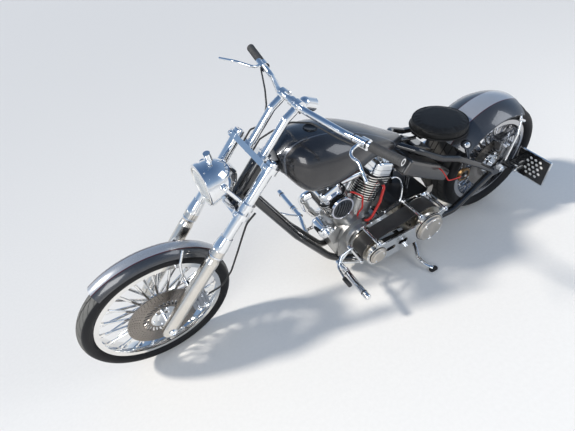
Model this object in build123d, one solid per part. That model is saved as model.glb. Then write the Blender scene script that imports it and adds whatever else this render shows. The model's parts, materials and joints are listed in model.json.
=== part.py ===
from build123d import *
import math
import os

# A custom chopper at full size, leaning on its side stand with the bars turned a little left.
# Every piece is drawn with the machine upright: +X forward, +Y to the rider's left, +Z up,
# z = 0 at the road and x = 0 at the rear axle. At the end the fork's pieces are turned about
# the steering axis, and the whole machine leans over and moves to the middle of its footprint.

# Stance
WHEELBASE = 1864
RAKE = 43.4
FORK_OFFSET = 57.7
LEAN = 10.0
STEER = 6.8

# Wheels: each rim's flange, each tyre's crown height and section
REAR_TYRE_R = 328
REAR_TYRE_W = 250
REAR_CROWN_R = 190
REAR_BEAD_R = 229
REAR_FLANGE_R = 246
REAR_RIM_W = 212
FRONT_TYRE_R = 338
FRONT_TYRE_W = 86
FRONT_CROWN_R = 48
FRONT_BEAD_R = 267
FRONT_FLANGE_R = 282
FRONT_RIM_W = 60
RIM_WALL = 6
SPOKES = 40
SPOKE_R = 5
AXLE_R = 10
AXLE_FIT = 0.05

# Fork: distances up the legs from the front axle
LEG_Y = 119
TUBE_R = 22.5
SLIDER_R = 30
SLIDER_TOP = 451
SLIDER_FOOT = 42
LOWER_TREE = 608
TOP_TREE = 818
TREE_T = 24
STEM_R = 12.7
NECK_R = 34
STEM_FIT = 0.05
NECK_GAP = 1.0
RISER_Y = 46
RISER_R = 16
BAR_R = 12.7

# Engine and primary drive
CRANK_X = 855
CRANK_Z = 240
CYLINDER_ANGLE = 22.5
CLUTCH_X = 536
CLUTCH_Z = 246
PLATE_IN_Y = 106
PLATE_OUT_Y = 236
PLATE_T = 8
BELT_W = 80
BELT_T = 6
FRONT_PULLEY_R = 60
CLUTCH_R = 98

# Frame tubes
TUBE_MAIN = 19
RAIL_Z = 100

# Stand
STAND_PIVOT = (560, 166, 102)
STAND_FOOT = (594, 365)
STAND_R = 11
STAND_EYE_R = 19
STAND_EYE_T = 28
STAND_PIN_R = 8

# Clearance between pieces that are clamped, bolted or rest on each other
SEAT_GAP = 0.3


def crown_height(radius, crown, lean):
    """Height of a leaned wheel's centre: its crown circle, of radius crown, rolls on the road."""
    return (radius - crown) * math.cos(lean) + crown


LEAN_RAD = math.radians(LEAN)
RAKE_RAD = math.radians(RAKE)
STEER_RAD = math.radians(STEER)
# turning the bars left also lays the front wheel over
FRONT_LEAN = math.asin(
    math.sin(RAKE_RAD) * math.sin(STEER_RAD) * math.cos(LEAN_RAD)
    + math.cos(STEER_RAD) * math.sin(LEAN_RAD)
)
REAR_AXLE_Z = REAR_TYRE_R
SINK = REAR_AXLE_Z * math.cos(LEAN_RAD) - crown_height(REAR_TYRE_R, REAR_CROWN_R, LEAN_RAD)
AXLE_DROP = FORK_OFFSET * (
    math.sin(STEER_RAD) * math.sin(LEAN_RAD)
    + (1 - math.cos(STEER_RAD)) * math.sin(RAKE_RAD) * math.cos(LEAN_RAD)
)
FRONT_AXLE_Z = (
    crown_height(FRONT_TYRE_R, FRONT_CROWN_R, FRONT_LEAN) + SINK + AXLE_DROP
) / math.cos(LEAN_RAD)

UP_FORK = Vector(-math.sin(RAKE_RAD), 0, math.cos(RAKE_RAD))
AHEAD = Vector(math.cos(RAKE_RAD), 0, math.sin(RAKE_RAD))
ACROSS = Vector(0, 1, 0)
FRONT_AXLE = Vector(WHEELBASE, 0, FRONT_AXLE_Z)
REAR_AXLE = Vector(0, 0, REAR_AXLE_Z)
STEER_POINT = FRONT_AXLE - AHEAD * FORK_OFFSET
STEER_AXIS = Axis(STEER_POINT, UP_FORK)


def fork_point(up, ahead, y=0.0):
    """A point up the fork from the front axle, ahead of the legs and out to the left."""
    return FRONT_AXLE + UP_FORK * up + AHEAD * ahead + Vector(0, y, 0)


def bar(start, end, radius, end_radius=None):
    """A round bar or cone between two points."""
    start = Vector(*start) if isinstance(start, tuple) else start
    end = Vector(*end) if isinstance(end, tuple) else end
    along = end - start
    middle = Plane(origin=start, z_dir=along)
    if end_radius is None:
        return extrude(middle * Circle(radius), along.length)
    tip = Plane(origin=end, z_dir=along)
    return loft([middle * Circle(radius), tip * Circle(end_radius)])


def tube(points, radii, radius):
    """A round tube along straight runs joined by tangent arcs."""
    path = FilletPolyline(*points, radius=radii)
    return sweep(Plane(origin=path @ 0, z_dir=path % 0) * Circle(radius), path=path)


def stadium(x1, z1, r1, x2, z2, r2, y0, y1):
    """A flat plate round two centres, its sides tangent to both circles, between two y planes."""
    reach = math.hypot(x2 - x1, z2 - z1)
    heading = math.atan2(z2 - z1, x2 - x1)
    side = math.acos((r1 - r2) / reach)
    tangents = []
    for sign in (1, -1):
        angle = heading + sign * side
        tangents.append(
            [(x1 + r1 * math.cos(angle), z1 + r1 * math.sin(angle)),
             (x2 + r2 * math.cos(angle), z2 + r2 * math.sin(angle))]
        )
    back = (x1 - r1 * math.cos(heading), z1 - r1 * math.sin(heading))
    front = (x2 + r2 * math.cos(heading), z2 + r2 * math.sin(heading))
    with BuildLine() as outline:
        Line(tangents[0][0], tangents[0][1])
        ThreePointArc(tangents[0][1], front, tangents[1][1])
        Line(tangents[1][1], tangents[1][0])
        ThreePointArc(tangents[1][0], back, tangents[0][0])
    sheet = Plane(origin=(0, y0, 0), x_dir=(1, 0, 0), z_dir=(0, -1, 0)) * make_face(outline.line)
    return extrude(sheet, -(y1 - y0))


def both_sides(shape):
    """A piece and its mirror image on the right-hand side."""
    return [shape, mirror(shape, about=Plane.XZ)]


def turned(profile):
    """A solid of revolution about the wheel's axle from a face drawn as (y, radius)."""
    face = Plane(origin=(0, 0, 0), x_dir=(0, 1, 0), z_dir=(1, 0, 0)) * profile
    return revolve(face, axis=Axis.Y)


def tyre(radius, width, crown, bead, flange, rim_w):
    """A tyre's section: flat at the bead, round in the wall, an arc of radius crown on top."""
    edge_y = width * 0.36
    edge_r = radius - (crown - math.sqrt(crown ** 2 - edge_y ** 2))
    seat_y = rim_w / 2 - RIM_WALL - 0.3
    bulge_r = (flange + edge_r) / 2
    with BuildLine() as outline:
        Line((-seat_y, bead), (seat_y, bead))
        Line((seat_y, bead), (seat_y, flange))
        ThreePointArc((seat_y, flange), (width / 2, bulge_r), (edge_y, edge_r))
        ThreePointArc((edge_y, edge_r), (0, radius), (-edge_y, edge_r))
        ThreePointArc((-edge_y, edge_r), (-width / 2, bulge_r), (-seat_y, flange))
        Line((-seat_y, flange), (-seat_y, bead))
    return turned(make_face(outline.line))


def laced_wheel(bead, flange, rim_w, hub_w, hub_flange_r):
    """Rim, hub and spokes as one piece, bored for the axle."""
    half = rim_w / 2
    inner = bead - RIM_WALL
    with BuildLine() as outline:
        Polyline(
            (-half, inner), (-half, flange), (-half + RIM_WALL, flange),
            (-half + RIM_WALL, bead), (half - RIM_WALL, bead), (half - RIM_WALL, flange),
            (half, flange), (half, inner),
        )
        ThreePointArc((half, inner), (0, inner - RIM_WALL), (-half, inner))
    rim = turned(make_face(outline.line))
    flange_t = 7
    barrel_r = hub_flange_r * 0.62
    with BuildLine() as hub_line:
        Polyline(
            (-hub_w / 2, AXLE_R + AXLE_FIT), (-hub_w / 2, barrel_r),
            (-hub_w / 2 + 12, barrel_r), (-hub_w / 2 + 12, hub_flange_r),
            (-hub_w / 2 + 12 + flange_t, hub_flange_r), (-hub_w / 2 + 12 + flange_t, barrel_r),
            (hub_w / 2 - 12 - flange_t, barrel_r), (hub_w / 2 - 12 - flange_t, hub_flange_r),
            (hub_w / 2 - 12, hub_flange_r), (hub_w / 2 - 12, barrel_r),
            (hub_w / 2, barrel_r), (hub_w / 2, AXLE_R + AXLE_FIT),
            close=True,
        )
    hub = turned(make_face(hub_line.line))
    spokes = []
    for index in range(SPOKES):
        angle = 2 * math.pi * index / SPOKES
        side = 1 if index % 2 else -1
        foot_y = side * (hub_w / 2 - 12 - flange_t / 2)
        head_y = side * rim_w * 0.12
        foot_r = hub_flange_r - 5
        head_r = inner - RIM_WALL / 2
        foot = Vector(foot_r * math.cos(angle), foot_y, foot_r * math.sin(angle))
        head = Vector(head_r * math.cos(angle), head_y, head_r * math.sin(angle))
        plane = Plane(origin=foot, z_dir=head - foot)
        section = plane * RegularPolygon(SPOKE_R, 6)
        spokes.append(extrude(section, (head - foot).length))
    return rim + hub + spokes


def finned_column(base, radius, fin_r, count, pitch, fin_t, height):
    """A round column along +Z with equal cooling fins, as one turned piece."""
    points = [(0, base), (radius, base)]
    for index in range(count):
        low = base + pitch * (index + 0.5)
        points += [(radius, low), (fin_r, low), (fin_r, low + fin_t), (radius, low + fin_t)]
    points += [(radius, base + height), (0, base + height)]
    face = Plane.XZ * make_face(Polyline(*points, close=True))
    return revolve(face, axis=Axis.Z)


def spun(points, plane):
    """A piece turned about the plane's z axis from a profile of (radius, height) points."""
    face = Plane.XZ * make_face(Polyline(*points, close=True))
    return plane.location * revolve(face, axis=Axis.Z)


def spun_y(points, x, z):
    """A piece turned about an axle along y from a profile of (y, radius) points."""
    return Pos(x, 0, z) * turned(make_face(Polyline(*points, close=True)))


def fork_plane(up, ahead=0.0, y=0.0):
    """A plane square to the fork, its x axis ahead and its y axis to the left."""
    return Plane(origin=fork_point(up, ahead, y), x_dir=AHEAD, z_dir=UP_FORK)


# Frame: neck and backbone, then each side's seat rail and axle plate, then its cradle tube

BACKBONE_R = 23
BACKBONE_END = (600, 0, 660)
neck_low = fork_point(LOWER_TREE + TREE_T / 2 + NECK_GAP, -FORK_OFFSET)
neck_high = fork_point(TOP_TREE - TREE_T / 2 - NECK_GAP, -FORK_OFFSET)
neck_bore = bar(neck_low, neck_high, STEM_R + STEM_FIT)
neck_solid = bar(neck_low, neck_high, NECK_R)
neck_middle = (neck_low + neck_high) * 0.5
backbone = tube(
    [neck_middle, (1120, 0, 800), (780, 0, 705), BACKBONE_END], [150, 300], BACKBONE_R
)
frame_spine = neck_solid + backbone - neck_bore

DOWNTUBE_Y = 40
RAIL_Y = 122
PLATE_Y = 172
PLATE_W = 12
PLATE_L = 130
PLATE_H = 76
SEAT_RAIL_R = 16
axle_bore = bar((0, -260, REAR_AXLE_Z), (0, 260, REAR_AXLE_Z), AXLE_R)
axle_plate = Pos(22, PLATE_Y, REAR_AXLE_Z) * Box(PLATE_L, PLATE_W, PLATE_H)
axle_plate = fillet(axle_plate.edges().filter_by(Axis.Y), 26)
SEAT_RAIL_ROUTE = [
    (612, 14, 656), (548, 105, 644), (430, 140, 570), (330, 158, 532),
    (190, PLATE_Y, 440), (60, PLATE_Y, REAR_AXLE_Z + 14),
]
SEAT_RAIL_BENDS = [60, 90, 90, 120]
seat_rail = tube(SEAT_RAIL_ROUTE, SEAT_RAIL_BENDS, SEAT_RAIL_R)
rail_seat = tube(SEAT_RAIL_ROUTE, SEAT_RAIL_BENDS, SEAT_RAIL_R + SEAT_GAP)
rear_side = seat_rail + axle_plate - backbone - axle_bore
neck_start = neck_low + UP_FORK * 40
CRADLE_ROUTE = [
    (neck_start.X, 30, neck_start.Z), (1180, DOWNTUBE_Y, 400),
    (990, DOWNTUBE_Y + 10, RAIL_Z), (850, RAIL_Y, RAIL_Z), (420, RAIL_Y, RAIL_Z + 4),
    (290, PLATE_Y, 170), (60, PLATE_Y, REAR_AXLE_Z - 10),
]
CRADLE_BENDS = [240, 130, 110, 110, 120]
cradle_side = tube(CRADLE_ROUTE, CRADLE_BENDS, TUBE_MAIN) - neck_solid - rear_side
cradle_clear = tube(CRADLE_ROUTE, CRADLE_BENDS, TUBE_MAIN + SEAT_GAP)
frame_rear_rails = Compound(children=both_sides(rear_side))

# the stand's clevis: two lugs welded outside the left rail, with a headed pin
LUG_T = 6
stand_x, stand_y, stand_z = STAND_PIVOT
stand_lugs = []
for side in (1, -1):
    lug = Pos(stand_x, stand_y, stand_z + side * (STAND_EYE_T / 2 + SEAT_GAP + LUG_T / 2)) * Cylinder(
        STAND_EYE_R, LUG_T
    )
    lug += Pos(stand_x, stand_y - 22, stand_z + side * (STAND_EYE_T / 2 + SEAT_GAP + LUG_T / 2)) * Box(
        2 * STAND_EYE_R, 44, LUG_T
    )
    stand_lugs.append(lug)
pin_half = STAND_EYE_T / 2 + SEAT_GAP + LUG_T + 4
stand_pin = bar(
    (stand_x, stand_y, stand_z - pin_half), (stand_x, stand_y, stand_z + pin_half), STAND_PIN_R
)
stand_lugs = stand_lugs[0] + stand_lugs[1] + stand_pin
frame_cradle = Compound(
    children=[cradle_side + stand_lugs, mirror(cradle_side, about=Plane.XZ)]
)

# Cross tubes between the rails, each with a pad that carries the engine or the gearbox
CASE_BOTTOM = CRANK_Z - 105
GEARBOX_BOTTOM = CLUTCH_Z - 95
GEARBOX_TOP = CLUTCH_Z + 95
CROSS_R = 13
CROSS_TUBES = [
    # x, half length, height of what it carries
    (945, 90, CASE_BOTTOM), (742, RAIL_Y, CASE_BOTTOM),
    (600, RAIL_Y, GEARBOX_BOTTOM), (462, RAIL_Y, GEARBOX_BOTTOM),
]
frame_crossmembers = []
for x, half, carried in CROSS_TUBES:
    pad_height = carried - SEAT_GAP - RAIL_Z
    pad = Pos(x, 0, RAIL_Z + pad_height / 2) * Box(34, 110, pad_height)
    cross = bar((x, -half, RAIL_Z), (x, half, RAIL_Z), CROSS_R) + pad
    frame_crossmembers.append(cross - cradle_clear - mirror(cradle_clear, about=Plane.XZ))
frame_crossmembers = Compound(children=frame_crossmembers)

# Rear wheel, brake disc, axle and fender

at_rear = Pos(0, 0, REAR_AXLE_Z)
HUB_REAR_W = 210
DISC_T = 6
DISC_REAR_R = 146
rear_axle = bar((0, -PLATE_Y - 26, REAR_AXLE_Z), (0, PLATE_Y + 26, REAR_AXLE_Z), AXLE_R)
rear_tyre = at_rear * tyre(
    REAR_TYRE_R, REAR_TYRE_W, REAR_CROWN_R, REAR_BEAD_R, REAR_FLANGE_R, REAR_RIM_W
)
rear_wheel_spoked = at_rear * laced_wheel(
    REAR_BEAD_R, REAR_FLANGE_R, REAR_RIM_W, HUB_REAR_W, 62
)
rear_disc = spun_y(
    [
        (HUB_REAR_W / 2, AXLE_R + 20), (HUB_REAR_W / 2 + DISC_T, AXLE_R + 20),
        (HUB_REAR_W / 2 + DISC_T, DISC_REAR_R), (HUB_REAR_W / 2, DISC_REAR_R),
    ],
    0, REAR_AXLE_Z,
)


def fender(radius, width, drop, wall, front, rear, grow=0.0):
    """A curved sheet over a tyre: an arc from edge to edge, swept between two angles.

    grow adds a clearance all round, for cutting what seats on the sheet.
    """
    radius += grow
    wall += 2 * grow
    half = width / 2 + grow
    front -= math.degrees(grow / radius)
    rear += math.degrees(grow / radius)
    with BuildLine() as outline:
        ThreePointArc((-half, radius - drop), (0, radius), (half, radius - drop))
        Line((half, radius - drop), (half - wall, radius - drop))
        ThreePointArc(
            (half - wall, radius - drop), (0, radius - wall), (-half + wall, radius - drop)
        )
        Line((-half + wall, radius - drop), (-half, radius - drop))
    face = Plane(origin=(0, 0, 0), x_dir=(0, 1, 0), z_dir=(1, 0, 0)) * make_face(outline.line)
    swept = revolve(face, axis=Axis.Y, revolution_arc=rear - front)
    return Rot(0, 90 - rear, 0) * swept


FENDER_GAP = 13
FENDER_WALL = 3
FENDER_W = 284
FENDER_DROP = 54
FENDER_FRONT = 36
FENDER_REAR = 114
FENDER_R = REAR_TYRE_R + FENDER_GAP + FENDER_WALL
REAR_FENDER = (FENDER_R, FENDER_W, FENDER_DROP, FENDER_WALL, FENDER_FRONT, FENDER_REAR)
rear_fender = at_rear * fender(*REAR_FENDER)
rear_fender_clear = at_rear * fender(*REAR_FENDER, grow=SEAT_GAP)

with BuildLine() as core_line:
    ThreePointArc(
        (-FENDER_W / 2, FENDER_R - FENDER_DROP), (0, FENDER_R), (FENDER_W / 2, FENDER_R - FENDER_DROP)
    )
    Line((FENDER_W / 2, FENDER_R - FENDER_DROP), (FENDER_W / 2, 0))
    Line((FENDER_W / 2, 0), (-FENDER_W / 2, 0))
    Line((-FENDER_W / 2, 0), (-FENDER_W / 2, FENDER_R - FENDER_DROP))
under_fender = at_rear * turned(make_face(core_line.line))

# Chrome stays from the axle plates up to the fender's tail, and bolted bosses at its front
STAY_Y = PLATE_Y + 2
STAY_R = 6
STAY_ROUTE = [
    (-30, STAY_Y, REAR_AXLE_Z + 38), (-46, STAY_Y, 440), (-60, STAY_Y, 517), (-88, 150, 580),
]
stay = tube(STAY_ROUTE, [60, 40], STAY_R)
stay += bar((-62, 150, 597), (-116, 150, 562), STAY_R + 1)
stay += bar((-89, 150, 579), (-93, 132, 606), STAY_R)
front_tab = bar((232, 104, 546), (246, PLATE_Y - 14, 474), 9) + bar((226, 96, 538), (240, 122, 552), 22)
fender_stays = Compound(
    children=both_sides(stay - rear_side - rear_fender_clear - under_fender)
    + both_sides(front_tab - rail_seat - rear_fender_clear - under_fender)
)

# Rear brake, plate bracket with its plate, and indicators, all on the left axle plate

CALIPER_Y = HUB_REAR_W / 2 + DISC_T / 2
CALIPER_SLOT = 7


def caliper(middle, out_y, length, depth, height, disc_y, disc_r, wheel):
    """A finned caliper block astride a disc, slotted by a ring round the wheel's axle."""
    body = Pos(middle.X, out_y, middle.Z) * Box(length, depth, height)
    body = fillet(body.edges().filter_by(Axis.Y), 16)
    for index in range(4):
        groove_x = middle.X + (index - 1.5) * length / 5
        body -= Pos(groove_x, out_y + depth / 2, middle.Z) * Box(6, 14, height + 2)
    return body - spun_y(
        [
            (disc_y - CALIPER_SLOT, 0), (disc_y - CALIPER_SLOT, disc_r + 5),
            (disc_y + CALIPER_SLOT, disc_r + 5), (disc_y + CALIPER_SLOT, 0),
        ],
        wheel.X, wheel.Z,
    )


rear_caliper = caliper(
    Vector(-28, 0, REAR_AXLE_Z + 132), CALIPER_Y + 16, 96, 56, 72, CALIPER_Y, DISC_REAR_R, REAR_AXLE
)
CALIPER_ARM_Y = 150
CALIPER_ARM_T = 8
rear_caliper += stadium(
    0, REAR_AXLE_Z, 24, -28, REAR_AXLE_Z + 122, 20, CALIPER_ARM_Y, CALIPER_ARM_Y + CALIPER_ARM_T
) - rear_axle
BRACKET_X = -165
BRACKET_Y = 247
BRACKET_Z = 306
BRACKET_W = 178
BRACKET_H = 146
HOLE_R = 9
HOLE_PITCH = 27
plate_bracket = Pos(BRACKET_X, BRACKET_Y, BRACKET_Z) * Box(4, BRACKET_W, BRACKET_H)
for row in range(5):
    for column in range(4 if row % 2 else 3):
        hole_y = BRACKET_Y + 12 + (column - (1.5 if row % 2 else 1)) * HOLE_PITCH
        hole_z = BRACKET_Z + (row - 2) * HOLE_PITCH * 0.87
        plate_bracket -= Pos(BRACKET_X, hole_y, hole_z) * (Rot(0, 90, 0) * Cylinder(HOLE_R, 6))
bracket_wing = Pos((BRACKET_X - 20) / 2, PLATE_Y + 10, BRACKET_Z + 24) * Box(-20 - BRACKET_X, 6, 44)
for x, reach, radius in ((-52, 46, 14), (-98, 34, 9)):
    bracket_wing += bar((x, PLATE_Y + 8, BRACKET_Z + 24), (x, PLATE_Y + 8 + reach, BRACKET_Z + 24), radius)
plate_bracket += bracket_wing
plate_bracket -= Pos(22, PLATE_Y, REAR_AXLE_Z) * Box(
    PLATE_L + 2 * SEAT_GAP, PLATE_W + 2 * SEAT_GAP, PLATE_H + 2 * SEAT_GAP
)
licence_plate = Pos(BRACKET_X - 3, BRACKET_Y, BRACKET_Z) * Box(2, BRACKET_W + 8, BRACKET_H + 8)
INDICATOR_R = 15


def bullet(radius, length, place):
    """A small lamp body: a dome behind a short barrel, along the place's z axis."""
    barrel = Pos(0, 0, length / 4) * Cylinder(radius, length / 2)
    dome = Pos(0, 0, length / 2) * Sphere(radius)
    return place * (barrel + dome)


rear_indicators = Compound(
    children=[
        bullet(INDICATOR_R, 44, Pos(BRACKET_X + 2 + SEAT_GAP, 178, z) * Rot(0, 90, 0))
        for z in (250, 288)
    ]
)

# Engine

at_crank = Pos(CRANK_X, 0, CRANK_Z)
CASE_R = 118
CASE_HALF = 86
DECK = 192
crankcase = spun_y(
    [(-CASE_HALF, 0), (-CASE_HALF, CASE_R), (CASE_HALF, CASE_R), (CASE_HALF, 0)], CRANK_X, CRANK_Z
)
crankcase += Pos(CRANK_X - 14, 0, CRANK_Z - 40) * Box(266, 150, 130)
crankcase += spun_y([(-142, 0), (-142, 96), (-CASE_HALF, 104), (-CASE_HALF, 0)], CRANK_X - 8, CRANK_Z + 14)
crankcase += spun_y([(CASE_HALF, 0), (CASE_HALF, 84), (PLATE_IN_Y, 78), (PLATE_IN_Y, 0)], CRANK_X, CRANK_Z)
cylinders = []
rocker_covers = []
for angle in (CYLINDER_ANGLE, -CYLINDER_ANGLE):
    tilt = at_crank * Rot(0, angle, 0)
    crankcase += tilt * (Pos(0, 0, DECK / 2) * Cylinder(64, DECK))
    column = finned_column(DECK, 54, 72, 8, 13, 5, 110)
    head = Pos(0, 0, DECK + 110 + 25) * Box(128, 150, 50)
    head = fillet(head.edges().filter_by(Axis.Z), 30)
    for row in range(3):
        head += Pos(0, 0, DECK + 122 + row * 13) * fillet(
            Box(146, 168, 5).edges().filter_by(Axis.Z), 38
        )
    cylinders.append(tilt * (column + head))
    cover = Pos(0, 0, DECK + 160 + 32) * Box(112, 164, 64)
    cover = fillet(cover.edges().filter_by(Axis.Z), 28)
    cover = fillet(cover.faces().sort_by(Axis.Z)[-1].edges(), 14)
    rocker_covers.append(tilt * cover)
cylinders = Compound(children=cylinders)
rocker_covers = Compound(children=rocker_covers)
pushrod_tubes = []
for angle in (CYLINDER_ANGLE, -CYLINDER_ANGLE):
    for offset in (-20, 20):
        foot = Vector(CRANK_X + angle * 1.6 + offset, -114, CRANK_Z + 96)
        lean = math.radians(angle)
        head_at = Vector(
            CRANK_X + math.sin(lean) * (DECK + 130) + offset, -88,
            CRANK_Z + math.cos(lean) * (DECK + 130)
        )
        pushrod_tubes.append(bar(foot, head_at, 9) - crankcase - cylinders)
pushrod_tubes = Compound(children=pushrod_tubes)
AIR_Z = CRANK_Z + 292
PORT_Z = CRANK_Z + 326
air_cleaner = spun_y(
    [(-176, 0), (-176, 70), (-164, 86), (-132, 86), (-128, 80), (-128, 0)], CRANK_X + 4, AIR_Z
)
air_cleaner += bar((CRANK_X + 4, -130, AIR_Z), (CRANK_X, 0, PORT_Z), 24)
air_cleaner += bar((CRANK_X - 57.5, 0, PORT_Z), (CRANK_X + 57.5, 0, PORT_Z), 18)
air_cleaner -= cylinders

# Exhausts, low on the right


def exhaust(points, radii, muffler_from, muffler_to):
    """A header pipe running into a wider straight muffler."""
    return tube(points, radii, 22) + bar(muffler_from, muffler_to, 38) - cylinders


def hanger(x, low, high, rail_y):
    """A plate that hangs both mufflers off the lower rail."""
    inner = rail_y - TUBE_MAIN - SEAT_GAP
    outer = PIPE_Y + 38 + SEAT_GAP
    return Pos(x, (inner + outer) / 2, (low + high) / 2) * Box(46, inner - outer, high - low)


PIPE_Y = -236
exhausts = Compound(
    children=[
        exhaust(
            [
                (1045.4, -44, 531), (1088, -56, 515), (1040, -112, 380),
                (980, -152, 262), (840, PIPE_Y, 172), (500, PIPE_Y, 176),
            ],
            [30, 120, 110, 110], (520, PIPE_Y, 176), (-120, PIPE_Y, 196),
        ),
        exhaust(
            [
                (669, -46, 519), (632, -66, 503), (604, -150, 400),
                (560, PIPE_Y, 296), (300, PIPE_Y, 272),
            ],
            [30, 90, 80], (320, PIPE_Y, 272), (-120, PIPE_Y, 286),
        ),
    ]
)

exhaust_hanger = hanger(170, 176, 292, -PLATE_Y)

# Gearbox, its output sprocket and the chain to the rear wheel, on the right

gearbox = Pos(CLUTCH_X - 12, -6, CLUTCH_Z) * Box(236, 2 * PLATE_IN_Y + 12, 190)
gearbox = fillet(gearbox.edges().filter_by(Axis.Y), 40)
gearbox = fillet(gearbox.faces().sort_by(Axis.Y)[0].edges(), 12)
gearbox -= Pos(CLUTCH_X, PLATE_IN_Y + 30 - SEAT_GAP, CLUTCH_Z) * Box(300, 60, 200)
CHAIN_Y = -139
CHAIN_W = 18
CHAIN_T = 11
SPROCKET_T = 6
DRIVE_R = 38
SPROCKET_R = 96
gearbox += spun_y(
    [(-100, 0), (-100, 30), (CHAIN_Y - SPROCKET_T / 2, 30), (CHAIN_Y - SPROCKET_T / 2, 0)],
    CLUTCH_X, CLUTCH_Z,
)
gearbox += spun_y(
    [
        (CHAIN_Y + SPROCKET_T / 2, 0), (CHAIN_Y + SPROCKET_T / 2, DRIVE_R - SEAT_GAP),
        (CHAIN_Y - SPROCKET_T / 2, DRIVE_R - SEAT_GAP), (CHAIN_Y - SPROCKET_T / 2, 0),
    ],
    CLUTCH_X, CLUTCH_Z,
)
rear_sprocket = spun_y(
    [
        (-HUB_REAR_W / 2, 40), (-HUB_REAR_W / 2, 52), (CHAIN_Y + SPROCKET_T / 2, 52),
        (CHAIN_Y + SPROCKET_T / 2, SPROCKET_R - 1), (CHAIN_Y - SPROCKET_T / 2, SPROCKET_R - 1),
        (CHAIN_Y - SPROCKET_T / 2, 40),
    ],
    0, REAR_AXLE_Z,
)
for index in range(6):
    turn = Rot(0, index * 60, 0)
    rear_sprocket -= at_rear * (turn * (Pos(74, CHAIN_Y, 0) * (Rot(90, 0, 0) * Cylinder(12, 12))))


drive_chain = stadium(
    0, REAR_AXLE_Z, SPROCKET_R + CHAIN_T, CLUTCH_X, CLUTCH_Z, DRIVE_R + CHAIN_T,
    CHAIN_Y - CHAIN_W / 2, CHAIN_Y + CHAIN_W / 2,
) - stadium(
    0, REAR_AXLE_Z, SPROCKET_R, CLUTCH_X, CLUTCH_Z, DRIVE_R, CHAIN_Y - CHAIN_W, CHAIN_Y + CHAIN_W
)


def drive_plate(r_back, r_front, y0, y1):
    """A plate round the clutch and the front pulley."""
    return stadium(CLUTCH_X, CLUTCH_Z, r_back, CRANK_X, CRANK_Z, r_front, y0, y1)


def plate_face(y):
    """A drawing plane over the primary drive, x forward and y up, seen from the left."""
    return Plane(origin=(0, y, 0), x_dir=(-1, 0, 0), z_dir=(0, 1, 0))


def flat_plate(outline, y, thickness):
    """A plate extruded outwards from a sketch drawn as (-x, z)."""
    return extrude(plate_face(y) * outline, thickness)


def spot(x, z):
    """A place on the primary's drawing plane."""
    return Pos(-x, z)


def arm(x1, z1, x2, z2, width):
    """A flat arm between two places on the drawing plane, round at its far end."""
    reach = math.hypot(x2 - x1, z2 - z1)
    turn = math.degrees(math.atan2(z2 - z1, x1 - x2))
    beam = spot(x1, z1) * Rot(0, 0, turn) * (Pos(reach / 2, 0) * Rectangle(reach, width))
    return beam + spot(x2, z2) * Circle(width / 2)


BELT_Y0 = PLATE_IN_Y + PLATE_T + 12
BELT_Y1 = BELT_Y0 + BELT_W
CORNER_R = 28
INNER_OUTLINE = [
    (920, 214), (884, 300), (737, 364), (626, 374), (432, 346), (420, 222), (470, 158), (880, 176),
]
inner_face = make_face(Polyline(*[(-x, z) for x, z in INNER_OUTLINE], close=True))
inner_face = fillet(inner_face.vertices(), CORNER_R)
primary_inner_plate = flat_plate(inner_face, PLATE_IN_Y, PLATE_T)
POSTS = [(854, 320), (606, 360), (446, 326)]
POST_R = 8
primary_posts = Compound(
    children=[
        bar((x, PLATE_IN_Y + PLATE_T + SEAT_GAP, z), (x, PLATE_OUT_Y - SEAT_GAP, z), POST_R)
        for x, z in POSTS
    ]
)
primary_belt = drive_plate(CLUTCH_R + BELT_T, FRONT_PULLEY_R + BELT_T, BELT_Y0, BELT_Y1) - drive_plate(
    CLUTCH_R, FRONT_PULLEY_R, BELT_Y0 - 1, BELT_Y1 + 1
)
FLANGE = 3
DRUM_GAP = 0.3


def pulley(x, z, radius):
    """A drum in the belt with a flange each side and a boss to the plates."""
    return spun_y(
        [
            (PLATE_IN_Y + PLATE_T + SEAT_GAP, 0), (PLATE_IN_Y + PLATE_T + SEAT_GAP, radius * 0.5),
            (BELT_Y0 - 4, radius * 0.5), (BELT_Y0 - 4, radius + 4), (BELT_Y0 - 4 + FLANGE, radius + 4),
            (BELT_Y0 - 4 + FLANGE, radius - DRUM_GAP), (BELT_Y1 + 1, radius - DRUM_GAP),
            (BELT_Y1 + 1, radius + 4), (BELT_Y1 + 1 + FLANGE, radius + 4),
            (BELT_Y1 + 1 + FLANGE, radius * 0.7), (PLATE_OUT_Y - SEAT_GAP, radius * 0.5),
            (PLATE_OUT_Y - SEAT_GAP, 0),
        ],
        x, z,
    )


primary_pulleys = Compound(
    children=[
        pulley(CRANK_X, CRANK_Z, FRONT_PULLEY_R), pulley(CLUTCH_X, CLUTCH_Z, CLUTCH_R)
    ]
)
BEAM_HALF = 60
LOBE_R = 86
outer_face = spot(CRANK_X, CRANK_Z) * Circle(BEAM_HALF) + spot(CLUTCH_X, CLUTCH_Z) * Circle(LOBE_R)
outer_face += arm(CLUTCH_X, CLUTCH_Z, CRANK_X, CRANK_Z, 2 * BEAM_HALF)
for x, z in POSTS[1:]:
    outer_face += arm(CLUTCH_X, CLUTCH_Z, x, z, 30)
outer_face += arm(CRANK_X, CRANK_Z, *POSTS[0], 30)
SLOTS = [(777, 242), (702, 247)]
SLOT_L = 56
SLOT_H = 26
for x, z in SLOTS:
    outer_face -= spot(x, z) * SlotOverall(SLOT_L, SLOT_H)
primary_outer_plate = flat_plate(outer_face, PLATE_OUT_Y, PLATE_T)
PLATE_OUT_Y1 = PLATE_OUT_Y + PLATE_T


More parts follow.
